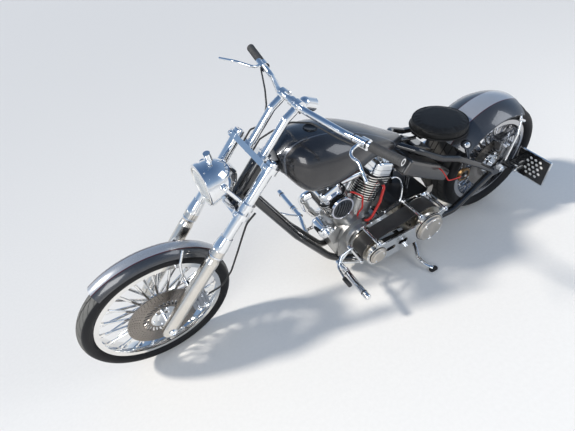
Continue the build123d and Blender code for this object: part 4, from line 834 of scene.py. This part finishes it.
piece("fork_fittings", [
    repeated([ring, cap], sides), repeated(axle_cap, both_sides((0, LEG_Y, 0))),
    *[repeated(screw(6.5, 7), both_sides((31.5, LEG_Y + 6, up), (1, 0, 0))) for up in (818, 608)],
    repeated(nut(12, 11), both_sides((-16, 46, 806), (0, 0, -1))),
    repeated(screw(9, 6), both_sides((0, LEG_Y, -41), (0, 0, -1))),
], FORK, "fork")
stem_nut = [turned([(0, 22), (3, 22), (3, 17)], 48), repeated(nut(17, 11), shift(0, 0, 3))]
piece("stem_nut", repeated(stem_nut, shift(-FORK_OFFSET, 0, 830)), FORK, "fork")


# Bars and their controls. Chromed bars sit in two bent risers; each grip is ribbed grey rubber with
# a flange, and each lever ends in a dome. A black switch box is clamped beside the left lever.
grip_rubber = mottled(
    "grip_rubber", (0.030, 0.030, 0.031), (0.075, 0.073, 0.070), (50, 4), (0.2, 0.6), (120,)
)
BAR_TIP = Vector((-126, 465, 1101.8))
BAR_BEND = Vector((-108, 225, 1062))
outwards = (BAR_TIP - BAR_BEND).normalized()
GRIP_LONG = 126
steps = np.linspace(4, GRIP_LONG - 10, 200)
ribs = 15.6 + 1.3 * np.clip(np.cos(steps * 2 * np.pi / 7.0) * 2.2 + 0.7, 0, 1)
grip = turned([
    (0, 12.9), (0, 17), (3.5, 17), *zip(steps, ribs), (GRIP_LONG - 8, 17), (GRIP_LONG - 2, 17),
    (GRIP_LONG - 0.5, 15.5), (GRIP_LONG, 8), (GRIP_LONG, 0)
], 40)
both = [Matrix.Identity(4), Matrix.Diagonal((1, -1, 1, 1))]
grips = repeated(repeated(grip, aimed(BAR_TIP - outwards * GRIP_LONG, outwards)), both)
piece("grip_ribs", grips, FORK, "fork", grip_rubber, 40, ["grips"])
perch = BAR_TIP - outwards * (GRIP_LONG + 40)
perch_screws = [
    aimed(perch + outwards * step + Vector(off), way) for step, off, way in (
        (8, (-19, 0, 0), (-1, 0, 0.2)), (22, (-19, 0, 0), (-1, 0, 0.2)),
        (-8, (22, 0, 10.2), (0, 0, 1)), (26, (22, 0, 10.2), (0, 0, 1)),
    )
]
BALLS = (-75, 430, 990), (11, -430, 1005)
ball = turned([(-6 * math.cos(t), 6 * math.sin(t)) for t in np.linspace(0, math.pi, 13)], 24)
riser_screws = sum([both_sides((-16, 46 + step, 1049), (1, 0, 0.2)) for step in (-9, 9)], [])
band = turned([(0, 14.5), (0, 16.5), (9, 16.5), (9, 14.5)], 40)
piece("bar_fittings", [
    repeated(repeated(screw(3.2, 3.5, 14), perch_screws), both),
    repeated(ball, [shift(*spot) for spot in BALLS]), repeated(screw(4.2, 5), riser_screws),
    repeated(band, [shift(-16, side * 46, 872) for side in (1, -1)]),
], FORK, "fork")
switch = turned([(0, 14), (2, 17.5), (20, 17.5), (22, 14)], 32)
button = turned([(0, 4.5), (5, 4.5), (6.5, 3), (6.5, 0)], 20)
at_switch = perch - outwards * 34
at_button = at_switch + outwards * 11 + Vector((-16.5, 0, 4))
piece("switch_box", [
    repeated(switch, aimed(at_switch, outwards)), repeated(button, aimed(at_button, (-1, 0, 0.25)))
], FORK, "fork", rubber_black)


# Speedometer, a small round clock in a chrome pod on the bars, with a pale dial under glass. Its
# marks are plain strokes round the edge, and its needle is red.
POD_FROM = Vector((-90, 14, 1063))
POD_TO = Vector((-132, 14, 1073))
dial_at = aimed(POD_TO, POD_TO - POD_FROM)
dial = Finish("dial")
x, y, _ = dial.parts(dial.place(FORK @ dial_at))
reach = (x * x + y * y) ** 0.5
angle = x.sum("ARCTAN2", y, x)
tick = 1 - x.sum("PINGPONG", angle + math.pi, math.pi / 20).above(0.035, 0.02)
ticks = tick * reach.above(0.0155, 0.0004) * (1 - reach.above(0.0185, 0.0004))
needle = (1 - (x + y * 0.6).size().above(0.0009, 0.0003)) * (1 - reach.above(0.014, 0.0004))
face = dial.blend(needle * y.above(0.0, 0.002), (0.62, 0.60, 0.55), (0.5, 0.03, 0.02))
dial.look(
    Base_Color=dial.blend(ticks, face, (0.02, 0.02, 0.02)),
    Roughness=0.25, Coat_Weight=1.0, Coat_Roughness=0.02
)
dial_glass = turned([(0.2, 20.5), (1.4, 20.5), (2.4, 14), (2.8, 0)], 64)
dial_rim = turned([(-1, 24.9), (3.0, 25.2), (4.4, 23.5), (3.2, 20.5), (0.4, 20.3)], 64)
piece("dial_face", repeated(dial_glass, dial_at), FORK, "fork", dial)
piece("dial_rim", repeated(dial_rim, dial_at), FORK, "fork")


# Headlamp, a chromed bullet with a seam behind its rim. A pale ring lies inside the rim, and the
# domed fluted glass is coloured with a painted reflection of a bright bowl behind it.
lamp_at = TURNED @ aimed((1523, 0, 880), (1, 0, 0))
lens = Finish("lens")
x, y, _ = lens.parts(lens.place(lamp_at))
reach = (x * x + y * y) ** 0.5
# The glass's colour is a painted reflection: rings of bright and dark colour stand in for the
# reflector bowl seen through it.
painted_bowl_reflection = lens.add("ShaderNodeValToRGB", {"stops": [
    (0.0, (0.55, 0.53, 0.46)), (0.12, (0.80, 0.80, 0.76)), (0.2, (0.22, 0.25, 0.27)),
    (0.55, (0.46, 0.50, 0.52)), (0.80, (0.62, 0.63, 0.60)), (0.86, (0.30, 0.30, 0.29)),
    (0.90, (0.80, 0.76, 0.66)), (1.0, (0.74, 0.70, 0.60)),
]}, reach / 0.0737)
flutes = (x * 1100.0).sum("SINE") * 0.5 + 0.5
in_bowl = 1 - reach.above(0.0625, 0.001)
lens.look(
    Base_Color=painted_bowl_reflection, Metallic=in_bowl * 0.55, Roughness=flutes * 0.08 + 0.10, Coat_Weight=1.0,
    Coat_Roughness=0.0
)
lens.raised(flutes * in_bowl, 0.0012, 0.5)
dressed(lens, "headlamp_lens")
rim = turned([
    (-15.5, 82), (-14, 85.4), (-2, 86), (3, 84.4), (6.2, 80), (6.8, 76.5), (5.2, 74.2), (0, 74.2),
    (-15.5, 78)
], 128, loop=True)
seam = turned([(-51, 75.6), (-50.4, 79.8), (-46.2, 80.6), (-45.6, 76.4)], 128, loop=True)
lamp_screws = [
    aimed((84 * math.cos(t), 84 * math.sin(t), -10), (math.cos(t), math.sin(t), 0))
    for t in (1.2, -1.9)
]
piece("lamp_rim", [rim, seam, repeated(screw(3.4, 4, 14), lamp_screws)], lamp_at, "fork")
piece("lamp_arm_screws", repeated(screw(8, 7), both_sides((107, 91, 683))), FORK, "fork")


# Hose and leads. The brake hose is black; red silicone leads run to the plugs, each ending in a
# black boot.
dressed(rubber_black, "brake_hose")
lead_red = mottled(
    "lead_red", (0.42, 0.012, 0.010), (0.62, 0.03, 0.02), (45, 3), (0.2, 0.3), (90,)
)
dressed(lead_red, "plug_leads")
piece("plug_boots", [
    repeated(turned(profile, 24), aimed(spot, way)) for profile, spot, way in (
        ([(-2, 11), (6, 11), (12, 8.5), (26, 7.6)], (733, 75, 534), (0.02, 1, -0.1)),
        ([(-2, 9), (6, 9), (10, 7), (20, 6)], (919, 60, 553), (-0.95, 0.3, -0.2)),
        ([(-2, 11), (4, 11), (9, 8), (14, 7.4)], (828, 86, 343.4), (0, 1, 0.1)),
    )
], finish=rubber_black)


# Engine, an air-cooled V-twin. Barrels and heads are black with their fins' edges polished bright,
# the crankcase is pale cast alloy, and the rocker boxes are chromed in three screwed layers.
CRANK = UPRIGHT @ shift(855, 0, 240)
TILT = math.radians(22.5)
HEAD_FROM = 0.3035
fin_black = Finish("fin_black")
x, y, z = fin_black.parts(fin_black.place(CRANK))
across = x.size() * math.cos(TILT) - z * math.sin(TILT)
up = x.size() * math.sin(TILT) + z * math.cos(TILT)
in_head = up.above(HEAD_FROM, 0.0005)
barrel_edge = ((across * across + y * y) ** 0.5).above(0.0708, 0.0004) * (1 - in_head)
over_x, over_y = [
    x.sum("MAXIMUM", way.size() - half, 0.0) for way, half in ((across, 0.035), (y, 0.046))
]
head_edge = ((over_x * over_x + over_y * over_y) ** 0.5).above(0.0368, 0.0004) * in_head
polished = (barrel_edge + head_edge).clip()
speckle = fin_black.noise(200.0, 3.0)
cast_black = fin_black.blend(speckle, (0.010, 0.010, 0.011), (0.030, 0.029, 0.028))
fin_black.look(
    Base_Color=fin_black.blend(polished, cast_black, (0.80, 0.78, 0.74)),
    Metallic=polished * 0.8 + 0.2, Roughness=speckle * 0.25 + 0.30 - polished * 0.22
)
fin_black.raised(speckle, 0.0004, 0.3)
dressed(fin_black, "cylinders")
dressed(mottled(
    "cast_alloy", (0.30, 0.30, 0.295), (0.58, 0.57, 0.55), (18, 5), (0.2, 0.22), (260, 4),
    (0.0005, 0.35), Metallic=0.9
), "crankcase")
dressed(mottled(
    "case_black", (0.012, 0.012, 0.013), (0.035, 0.034, 0.033), (16, 5), (0.2, 0.28), (240, 4),
    (0.0005, 0.3)
), "gearbox")


def rounded_loop(half_x, half_y, corner, count=24):
    """A rectangle's outline with round corners: a circle pushed out to each corner in turn."""
    t = np.linspace(0, 2 * np.pi, count * 4, endpoint=False)
    return np.stack([
        np.sign(np.cos(t)) * (half_x - corner) + corner * np.cos(t),
        np.sign(np.sin(t)) * (half_y - corner) + corner * np.sin(t)
    ], -1)


def slab(outline, low, high):
    """A flat slab with that outline between two heights."""
    layers = [np.c_[outline, np.full(len(outline), height)] for height in (low, high)]
    return shell(np.stack(layers), round_v=True, ends=True)


COVER = rounded_loop(57, 83, 29)
GASKET = rounded_loop(56.4, 82.4, 29)
box_screws = [shift(x, y, 415.5) for x in (38, 0, -38) for y in (62, -62)]
flange_screws = [shift(x, y, 352) for x in (59, -59) for y in (52, -52)]
for name, side in (("front", 1), ("rear", -1)):
    bore = CRANK @ Matrix.Rotation(side * TILT, 4, "Y")
    piece(name + "_rocker_box", [
        slab(COVER, 351.5, 358), slab(COVER, 375, 380), repeated(screw(5, 6), box_screws),
        repeated(screw(4.5, 8), flange_screws),
    ], bore)
    gaskets = [slab(GASKET, 358, 359.2), slab(GASKET, 380, 381)]
    piece(name + "_gaskets", gaskets, bore, "frame", rubber_black)
lifters = [
    turned([(0, 15), (7, 15), (8, 12), (20, 12), (22, 10.5)], 24),
    turned([(58, 9.6), (60, 11.5), (72, 11.5), (74, 9.6)], 24),
]
collars = []
for side, offset in ((1, -20), (1, 20), (-1, -20), (-1, 20)):
    low = Vector((855 + side * 36 + offset, -114, 336))
    high = Vector((855 + side * math.sin(TILT) * 322 + offset, -88, 240 + math.cos(TILT) * 322))
    collars.append(aimed(low, high - low))
piece("pushrod_collars", repeated(lifters, collars))
RIGHT = (0, -1, 0)
cam_cover = [
    turned([(-1, 62), (5, 62), (8, 58), (8, 20), (11, 17), (11, 0)], 96),
    repeated(screw(5, 5), round_places(9, 85)), repeated(screw(3.4, 4), round_places(3, 52, 8)),
]
piece("cam_cover", repeated(cam_cover, aimed((847, -142, 254), RIGHT)))
cleaner_front = [
    turned([(-6, 82), (-1, 82), (3, 76), (3, 60), (1, 56), (1, 34), (4, 30), (6, 0)], 128),
    repeated(screw(5, 5), round_places(3, 45, 1)),
]
piece("air_cleaner_front", repeated(cleaner_front, aimed((859, -176, 532), RIGHT)))


# Small engine pieces on the left: a black plug socket above the primary, a chromed breather pipe
# down the back of the rear barrel, bands on the spin-on oil filter and a slatted horn cover.
breather = smooth_rows([
    (0, 670, 80, 524), (1, 650, 88, 527), (2, 626, 92, 500), (3, 610, 93, 456), (4, 608, 96, 424),
    (5, 616, 104, 392), (6, 628, 109, 372)
], 60)[1]
filter_bands = [
    turned([(low, 35), (low, 37.4), (low + 5, 37.4), (low + 5, 35)], 64, True) for low in (-34, 38)
]
piece("engine_trim", [
    carried(breather, 4.6), repeated(filter_bands, aimed((1022, 0, 330))),
    repeated(nut(13, 8), aimed((1022, 62, 330))),
])
contact = turned([(18, 2.6), (21, 2.6), (21.6, 0)], 12)
socket = [
    turned([(-16, 9), (0, 9), (1, 12.5), (16, 12.5), (18, 10.5), (18, 0)], 32),
    repeated(contact, [shift(0, side * 5) for side in (1, -1)]),
]
piece(
    "plug_socket", repeated(socket, aimed((754, 84, 374), (0, 1, 0.35))), finish=rubber_black,
)
horn_metal = Finish("horn_metal")
x, _, z = horn_metal.parts(horn_metal.place(UPRIGHT @ shift(968, 0, 515)))
rim_part = ((x * x + z * z) ** 0.5).above(0.0508, 0.0006)
haze = horn_metal.noise(20.0, 4.0)
slats = horn_metal.blend(haze, (0.030, 0.034, 0.040), (0.075, 0.080, 0.088))
horn_metal.look(
    Base_Color=horn_metal.blend(rim_part, slats, (0.80, 0.79, 0.84)),
    Metallic=rim_part * 0.35 + 0.65, Roughness=haze * 0.1 + 0.3 - rim_part * 0.25
)
dressed(horn_metal, "horn_cover")


# Primary drive, open on the left. A belt runs on turned pulleys between two polished plates that
# chrome posts hold apart, and dished satin covers close the ends of the crank and clutch.
belt = mottled("belt", (0.022, 0.020, 0.018), (0.060, 0.053, 0.046), (22, 4), (0.2, 0.34))
belt.raised((belt.parts(belt.place(UPRIGHT))[1] * 1500.0).sum("SINE"), 0.0005, 0.3)
dressed(belt, "primary_belt")
for name, dark, light, scale, base, dressed_nodes in (
    ("drum_metal", (0.52, 0.47, 0.40), (0.68, 0.63, 0.55), 30, 0.22, ["primary_pulleys"]),
    ("plate_metal", (0.70, 0.70, 0.69), (0.84, 0.83, 0.81), 11, 0.10,
     ["primary_inner_plate", "primary_outer_plate"]),
    ("cover_metal", (0.56, 0.51, 0.45), (0.70, 0.65, 0.58), 26, 0.34, ["primary_covers"]),
):
    cover_metal = mottled(name, dark, light, (scale, 4), (0.12, base), Metallic=1.0)
    dressed(cover_metal, *dressed_nodes)
CLUTCH_AT = aimed((536, 244, 246))
CRANK_AT = aimed((855, 244, 240))
piece("cover_gaskets", [
    repeated(turned([
        (0, radius - 0.5), (0, radius + 2.6), (2.4, radius + 2.6), (2.4, radius - 0.5)
    ], 96, loop=True), at) for at, radius in ((CLUTCH_AT, 78), (CRANK_AT, 46))
], finish=rubber_black)
washer = turned([(0, 12.5), (2, 12.5), (2.6, 11), (2.6, 0)], 32)
post_end = [washer, repeated(screw(8.5, 8), shift(0, 0, 2.4))]
post_foot = turned([(0, 8), (0, 12), (5, 12), (7, 8)], 32, loop=True)
POSTS = (854, 320), (606, 360), (446, 326)
PLATE_SCREWS = (720, 352), (800, 318), (520, 348), (884, 262), (452, 200)
small_screws = [aimed((x, 114, z)) for x, z in PLATE_SCREWS]
small_screws += [CRANK_AT @ place for place in round_places(2, 27, 16, 0.6)]
small_screws += [CLUTCH_AT @ place for place in round_places(3, 48, 20, 0.4)]
ring_bead = turned([(20 - 0.6, 63), (20 + 0.9, 64), (20 - 0.6, 65)], 96, loop=True)
dome = turned([(0, 19), (7, 18.6), (13, 14), (16.5, 7), (17.5, 0)], 48)
piece("primary_screws", [
    repeated(post_end, [aimed((x, 244, z)) for x, z in POSTS]),
    repeated(post_foot, [aimed((x, 114, z)) for x, z in POSTS]),
    repeated(screw(4.2, 4), small_screws), repeated(ring_bead, CLUTCH_AT),
    repeated(dome, aimed((479, 114, 341))),
])
rear_tab = slab(rounded_loop(17, 24, 5), 0, 6)
piece(
    "rear_tab", repeated(rear_tab, aimed((434, 109, 356))), finish=cover_metal,
)


# Fender stays and ignition switch. The stays are chromed rods whose front bosses are painted like
# the fender and bolted; the switch is a bronze ring round a black barrel, with its red wire, both
# darkened partly as painted shade.
stay_metal = Finish("stay_metal")
boss_part = stay_metal.parts(stay_metal.place(UPRIGHT))[0].above(0.20, 0.002)
stay_metal.look(
    Base_Color=stay_metal.blend(boss_part, (0.86, 0.87, 0.88), (0.030, 0.034, 0.042)),
    Metallic=1 - boss_part * 0.6,
    Roughness=boss_part * 0.2 + stay_metal.noise(14.0, 4.0) * 0.08 + 0.04
)
dressed(stay_metal, "fender_stays")
# The switch's bronze ring and the black round and inside it are its own colours, made darker as
# painted shade of the shaded place in front of the rear wheel.
bronze_and_painted_shade = Finish("bronze_and_painted_shade")
x, _, z = bronze_and_painted_shade.parts(bronze_and_painted_shade.place(UPRIGHT @ shift(280, 0, 419)))
reach = (x * x + z * z) ** 0.5
ring_part = reach.above(0.0268, 0.0006) * (1 - reach.above(0.0392, 0.0006))
tarnish = bronze_and_painted_shade.noise(60.0, 4.0)
ring_colour = bronze_and_painted_shade.blend(tarnish, (0.10, 0.056, 0.024), (0.22, 0.14, 0.065))
bronze_and_painted_shade.look(
    Base_Color=bronze_and_painted_shade.blend(ring_part, (0.014, 0.013, 0.013), ring_colour),
    Metallic=ring_part * 0.9, Roughness=tarnish * 0.2 + 0.32
)
dressed(bronze_and_painted_shade, "ignition_switch")
key_ring = turned([(0, 5.5), (3, 5.5), (3, 3.5), (5, 3), (5, 0)], 24)
piece("ignition_barrel", repeated(key_ring, aimed((280, 184, 419))))
boss_washer = turned([(-1, 13), (1.6, 13), (2.2, 12), (2.2, 0)], 32)
boss_bolt = [boss_washer, repeated(nut(8.5, 7), shift(0, 0, 2))]
piece("stay_bolts", repeated(boss_bolt, both_sides((240, 122, 552), (14, 26, 14))))
wire = smooth_rows([
    (0, 414, 127, 492), (1, 414, 150, 491), (2, 408, 174, 470), (3, 394, 182, 444),
    (4, 356, 183, 432), (5, 320, 182, 425), (6, 304, 178, 421),
], 70)[1]
wire_shell = carried(wire, 3.2, 12, (0.3, 0.2, 1.0))
piece("ignition_lead", wire_shell, finish=lead_red)


# Brake calipers. Each is a finned alloy block astride its disc, held by cap screws, with a bleed
# nipple on top; the front one has a banjo union where its hose goes in.
dressed(mottled(
    "caliper_metal", (0.36, 0.37, 0.39), (0.52, 0.53, 0.55), (24, 4), (0.12, 0.18), Metallic=1.0
), "rear_caliper", "front_caliper")
UP = (0, 0, 1)
nipple = turned([(-1, 5), (6, 5), (6, 3), (12, 3), (13, 4), (17, 3.4), (18, 2), (18, 0)], 20)
piece("rear_caliper_screws", [
    repeated(screw(6.5, 7), [aimed((-28 + step, 158, 452)) for step in (11, -11)]),
    repeated(nipple, aimed((-46, 136, 495), UP)), repeated(nut(18, 14), both_sides((0, 178, 328))),
])
caliper_at = Vector((front_axle.x - 158, 0, front_axle.z + 12.8))
banjo = [
    turned([(-2, 8), (7, 8), (8, 7), (8, 0)], 6), turned([(-2, 9.5), (1.5, 9.5), (1.5, 0)], 24),
]
piece("front_caliper_screws", [
    repeated(screw(4.4, 5), [
        aimed(caliper_at + Vector((x, 92, z))) for x in (14.8, -14.8) for z in (34, -34)
    ]),
    repeated(nipple, aimed(caliper_at + Vector((14, 78, 45)), UP)),
    repeated(banjo, aimed(caliper_at + Vector((-36.5, 84, 20)), (-1, 0, 0))),
], TURNED, "fork")


# Licence plate, a blank enamelled sheet on a drilled black plate, inside a thin silver frame. Two
# bullet lamps beside it are ringed where the barrel meets the dome.
dressed(mottled(
    "enamel", (0.78, 0.78, 0.76), (0.85, 0.85, 0.83), (9, 4), (0.1, 0.28), (70,),
    Coat_Weight=0.5, Coat_Roughness=0.05
), "licence_plate")
BACKWARDS = (-1, 0, 0)
plate_at = aimed((-166, 247, 306), BACKWARDS)
outer, inner = rounded_loop(95, 79, 6), rounded_loop(90, 74, 4)
plate_edge = shell(np.stack([
    np.c_[line, np.full(len(line), height)]
    for line, height in ((outer, -3.4), (outer, 4.4), (inner, 4.4), (inner, -3.4))
]), round_u=True, round_v=True)
plate_screws = repeated(screw(4.5, 4), [shift(x, y, 3) for x in (70, -70) for y in (58, -58)])
lamp_ring = turned([(20.5, 14), (20.5, 16.6), (24.5, 16.6), (24.5, 14)], 40, loop=True)
piece("plate_frame", [
    repeated([plate_edge, plate_screws], plate_at),
    repeated(lamp_ring, [aimed((-162.7, 178, height), (1, 0, 0)) for height in (250, 288)]),
])


# Exhaust ends. Each muffler ends in a rolled lip round its bore, closed by a black disc that is
# soot and painted shade of the pipe's hollow, and a banded clamp closes each joint between header
# and muffler.
lip = turned([
    (-3, 38), (-1, 39), (5, 39.2), (7.5, 37.6), (7.5, 36), (4, 33.6), (0.2, 33.4), (-3, 36)
], 72, loop=True)
tips = [aimed((-120, -236, height), BACKWARDS) for height in (196, 286)]
clamp = [
    turned([(-9, 37.6), (-9, 40.2), (-4, 40.8), (4, 40.8), (9, 40.2), (9, 37.6)], 72, loop=True),
    repeated(nut(7, 8), shift(0, -42, -4) @ spun(90, "Y")),
]
clamps = [aimed((x, -236, z), BACKWARDS) for x, z in ((498, 176.7), (296, 272.8))]
piece("exhaust_lips", [repeated(lip, tips), repeated(clamp, clamps)])
# The disc in each bore is black for soot and as painted shade of the hollow pipe behind it.
soot_and_painted_shade = Finish("soot_and_painted_shade")
soot_and_shade_colour = soot_and_painted_shade.blend(soot_and_painted_shade.noise(60.0), (0.006, 0.006, 0.006), (0.03, 0.027, 0.024))
soot_and_painted_shade.look(Base_Color=soot_and_shade_colour, Roughness=0.9)
bore = turned([(0, 34.5), (0.6, 34.5), (0.6, 0)], 48)
piece("exhaust_bores", repeated(bore, tips), finish=soot_and_painted_shade)


# Footpegs and side stand. The pegs are chromed sleeves with a collar, a rubber ring and a bright
# turned cap; the stand's leg is chromed down to a black foot.
collar = turned([
    (236, 13), (238, 17), (256, 17), (258, 14.2), (386, 14.2), (386, 13)
], 40, loop=True)
cap = turned([(392, 13), (392, 15.2), (419, 15.2), (424, 12), (425, 0)], 40)
peg_places = both_sides((1045, 0, 256))
piece("peg_sleeves", repeated([collar, cap], peg_places))
peg_rings = [
    turned([(low, 13), (low, reach), (low + 6, reach), (low + 6, 13)], 40, loop=True)
    for low, reach in ((386, 15.4), (258, 15.2))
]
toe = turned([(-4, 6), (-4, 9.5), (-2, 10.5), (42, 10.5), (46, 8), (46, 0)], 32)
piece("peg_rubbers", [
    repeated(peg_rings, peg_places),
    repeated(toe, [aimed((1100, 316, 318)), aimed((1184, -316, 318), RIGHT)]),
], finish=rubber_black)
stand_route = smooth_rows([
    (0, 561, 174, 102), (1, 580, 222, 90), (2, 604, 276, 77), (3, 606, 318, 78),
    (4, 596, 352, 80), (5, 590, 366, 78)
], 60)[1]
eye = turned([(-14, 8.6), (-14, 19), (14, 19), (14, 8.6)], 40, loop=True)
piece("stand_leg", [
    carried(stand_route, np.linspace(13, 9.5, 60), 20, (0, 0, 1)),
    repeated(eye, shift(560, 166, 102)),
], body="side_stand", sharp=40, replaces=["side_stand"])
foot_height = 365 * math.tan(math.radians(LEAN)) + 2.9
toe_pad = [slab(rounded_loop(23, 15, 13), 0, 6), slab(rounded_loop(15, 11, 9), 6, 12)]
toe_at = shift(586, 368, foot_height) @ spun(LEAN, "X")
piece("stand_foot", repeated(toe_pad, toe_at), UPRIGHT, "side_stand", rubber_black)
piece("stand_nut", repeated(nut(14, 9), aimed((560, 166, 116), UP)))


# Seat, a sprung saddle of black leather over foam. Its cover is drawn tight over the pan, swells a
# little between its edges, and a welt is sewn round the top edge.
SEAT_AT = UPRIGHT @ shift(328, 0, 635.5) @ spun(-5, "Y")
SEAT_OVAL = 143, 131
WELT_OVAL = 137.5, 125.5
VOXEL = 0.005
CLOTH_FRAMES = 20
leather = Finish("leather")
grain = leather.add(
    "ShaderNodeTexVoronoi", {"feature": "DISTANCE_TO_EDGE"}, Vector=leather.place(), Scale=420.0
)
crease = leather.noise(12.0, 5.0)
leather.look(
    Base_Color=leather.blend(crease, (0.004, 0.004, 0.004), (0.011, 0.011, 0.011)),
    Roughness=crease * 0.16 + 0.38, Specular_IOR_Level=0.22
)
leather.raised(grain.above(0.06, 0.1), 0.0004, 0.35)


def oval(half_long, half_wide, count=160):
    """Points round an oval and the directions that point out of it."""
    t = np.linspace(0, 2 * np.pi, count, endpoint=False)
    out = np.stack([np.cos(t) * half_wide, np.sin(t) * half_long], -1)
    out /= np.linalg.norm(out, axis=1)[:, None]
    return np.stack([np.cos(t) * half_long, np.sin(t) * half_wide], -1), out


def oval_sweep(half_long, half_wide, profile, height=0.0):
    """A closed (outward, up) profile carried round an oval, lifted by one height or one a point."""
    line, out = oval(half_long, half_wide)
    outward, up = np.array(profile, float).T
    rings = line[:, None] + out[:, None] * outward[None, :, None]
    lift = np.broadcast_to(height, len(line))[:, None] + up[None]
    return shell(np.concatenate([rings, lift[:, :, None]], -1), round_u=True, round_v=True)


def foam(half_long, half_wide, thick, bow):
    """A flat-bottomed oval loaf: rings shrink by a rounded corner, then over a shallow crown."""
    corner = 13.0
    turn = np.linspace(0, np.pi / 2, 8)
    inset = np.r_[2, 0, 0, corner * (1 - np.cos(turn)), np.linspace(corner + 12, half_wide - 4, 9)]
    rise = np.r_[0, 3, thick * 0.4, thick - corner + corner * np.sin(turn), np.zeros(9)]
    rise[-9:] = thick + bow * (1 - np.linspace(1, 0, 9) ** 2) * 0.5
    line = oval(half_long, half_wide)[0]
    rings = [
        np.c_[line * (1 - shrink / half_wide), np.full(len(line), height)]
        for shrink, height in zip(inset, rise)
    ]
    return shell(np.stack(rings), round_v=True, ends=True)


def swollen(thing, pressure, cap, held_below):
    """Blows a closed mesh up as cloth for twenty frames, no point moving further than the cap."""
    mesh = thing.data
    start = np.empty(len(mesh.vertices) * 3, np.float32)
    mesh.vertices.foreach_get("co", start)
    start = start.reshape(-1, 3)
    held = thing.vertex_groups.new(name="held")
    held.add(np.flatnonzero(start[:, 2] < held_below).tolist(), 1.0, "ADD")
    cloth = thing.modifiers.new("cover", "CLOTH")
    for key, value in (
        ("quality", 6), ("mass", 0.3), ("tension_stiffness", 20), ("compression_stiffness", 20),
        ("bending_stiffness", 4), ("use_pressure", True), ("uniform_pressure_force", pressure),
        ("vertex_group_mass", "held"),
    ):
        setattr(cloth.settings, key, value)
    cloth.settings.effector_weights.gravity = 0
    cloth.point_cache.frame_start = 1
    cloth.point_cache.frame_end = CLOTH_FRAMES
    scene = bpy.context.scene
    for step in range(1, CLOTH_FRAMES + 1):
        scene.frame_set(step)
    shown = thing.evaluated_get(bpy.context.evaluated_depsgraph_get()).data
    end = np.empty(len(shown.vertices) * 3, np.float32)
    shown.vertices.foreach_get("co", end)
    thing.modifiers.remove(cloth)
    thing.vertex_groups.remove(held)
    scene.frame_set(1)
    move = end.reshape(-1, 3) - start
    far = np.linalg.norm(move, axis=1)[:, None]
    move *= np.minimum(1, cap / np.maximum(far, 1e-9))
    mesh.vertices.foreach_set("co", (start + move).ravel())
    mesh.update()


loaf = piece(
    "seat_cover", foam(*SEAT_OVAL, 39, 6), Matrix.Scale(MM, 4), "frame", leather,
    180, ["seat_pad"]
)
remesh = loaf.modifiers.new("even", "REMESH")
remesh.mode = "VOXEL"
remesh.voxel_size = VOXEL
even = bpy.data.meshes.new_from_object(loaf.evaluated_get(bpy.context.evaluated_depsgraph_get()))
loaf.modifiers.remove(remesh)
loaf.data = even
even.materials.clear()
even.materials.append(leather.owner)
swollen(loaf, 4.0, 0.0065, 0.004)
even.shade_smooth()
spots = np.array([point.co for point in even.vertices])
near = [
    np.argmin(np.linalg.norm(spots[:, :2] * 1000 - spot, axis=1) - spots[:, 2] * 300)
    for spot in oval(*WELT_OVAL)[0]
]
crown = spots[near, 2] * 1000
crown = np.convolve(np.r_[crown[-6:], crown, crown[:6]], np.ones(13) / 13, "valid")
even.transform(SEAT_AT @ Matrix.Scale(1000, 4))
even.update()
fine = loaf.modifiers.new("fine", "SUBSURF")
fine.levels = fine.render_levels = 1
welt = oval_sweep(*WELT_OVAL, outline_at(3.2, 10), crown + 0.6)
piece("seat_welt", welt, SEAT_AT, "frame", leather, 60)
edge = oval_sweep(*SEAT_OVAL, [(-4, -1), (4.5, -1), (6, 2), (4.5, 5), (-4, 5)])
piece("seat_edge", edge, SEAT_AT, "frame", leather, 40)
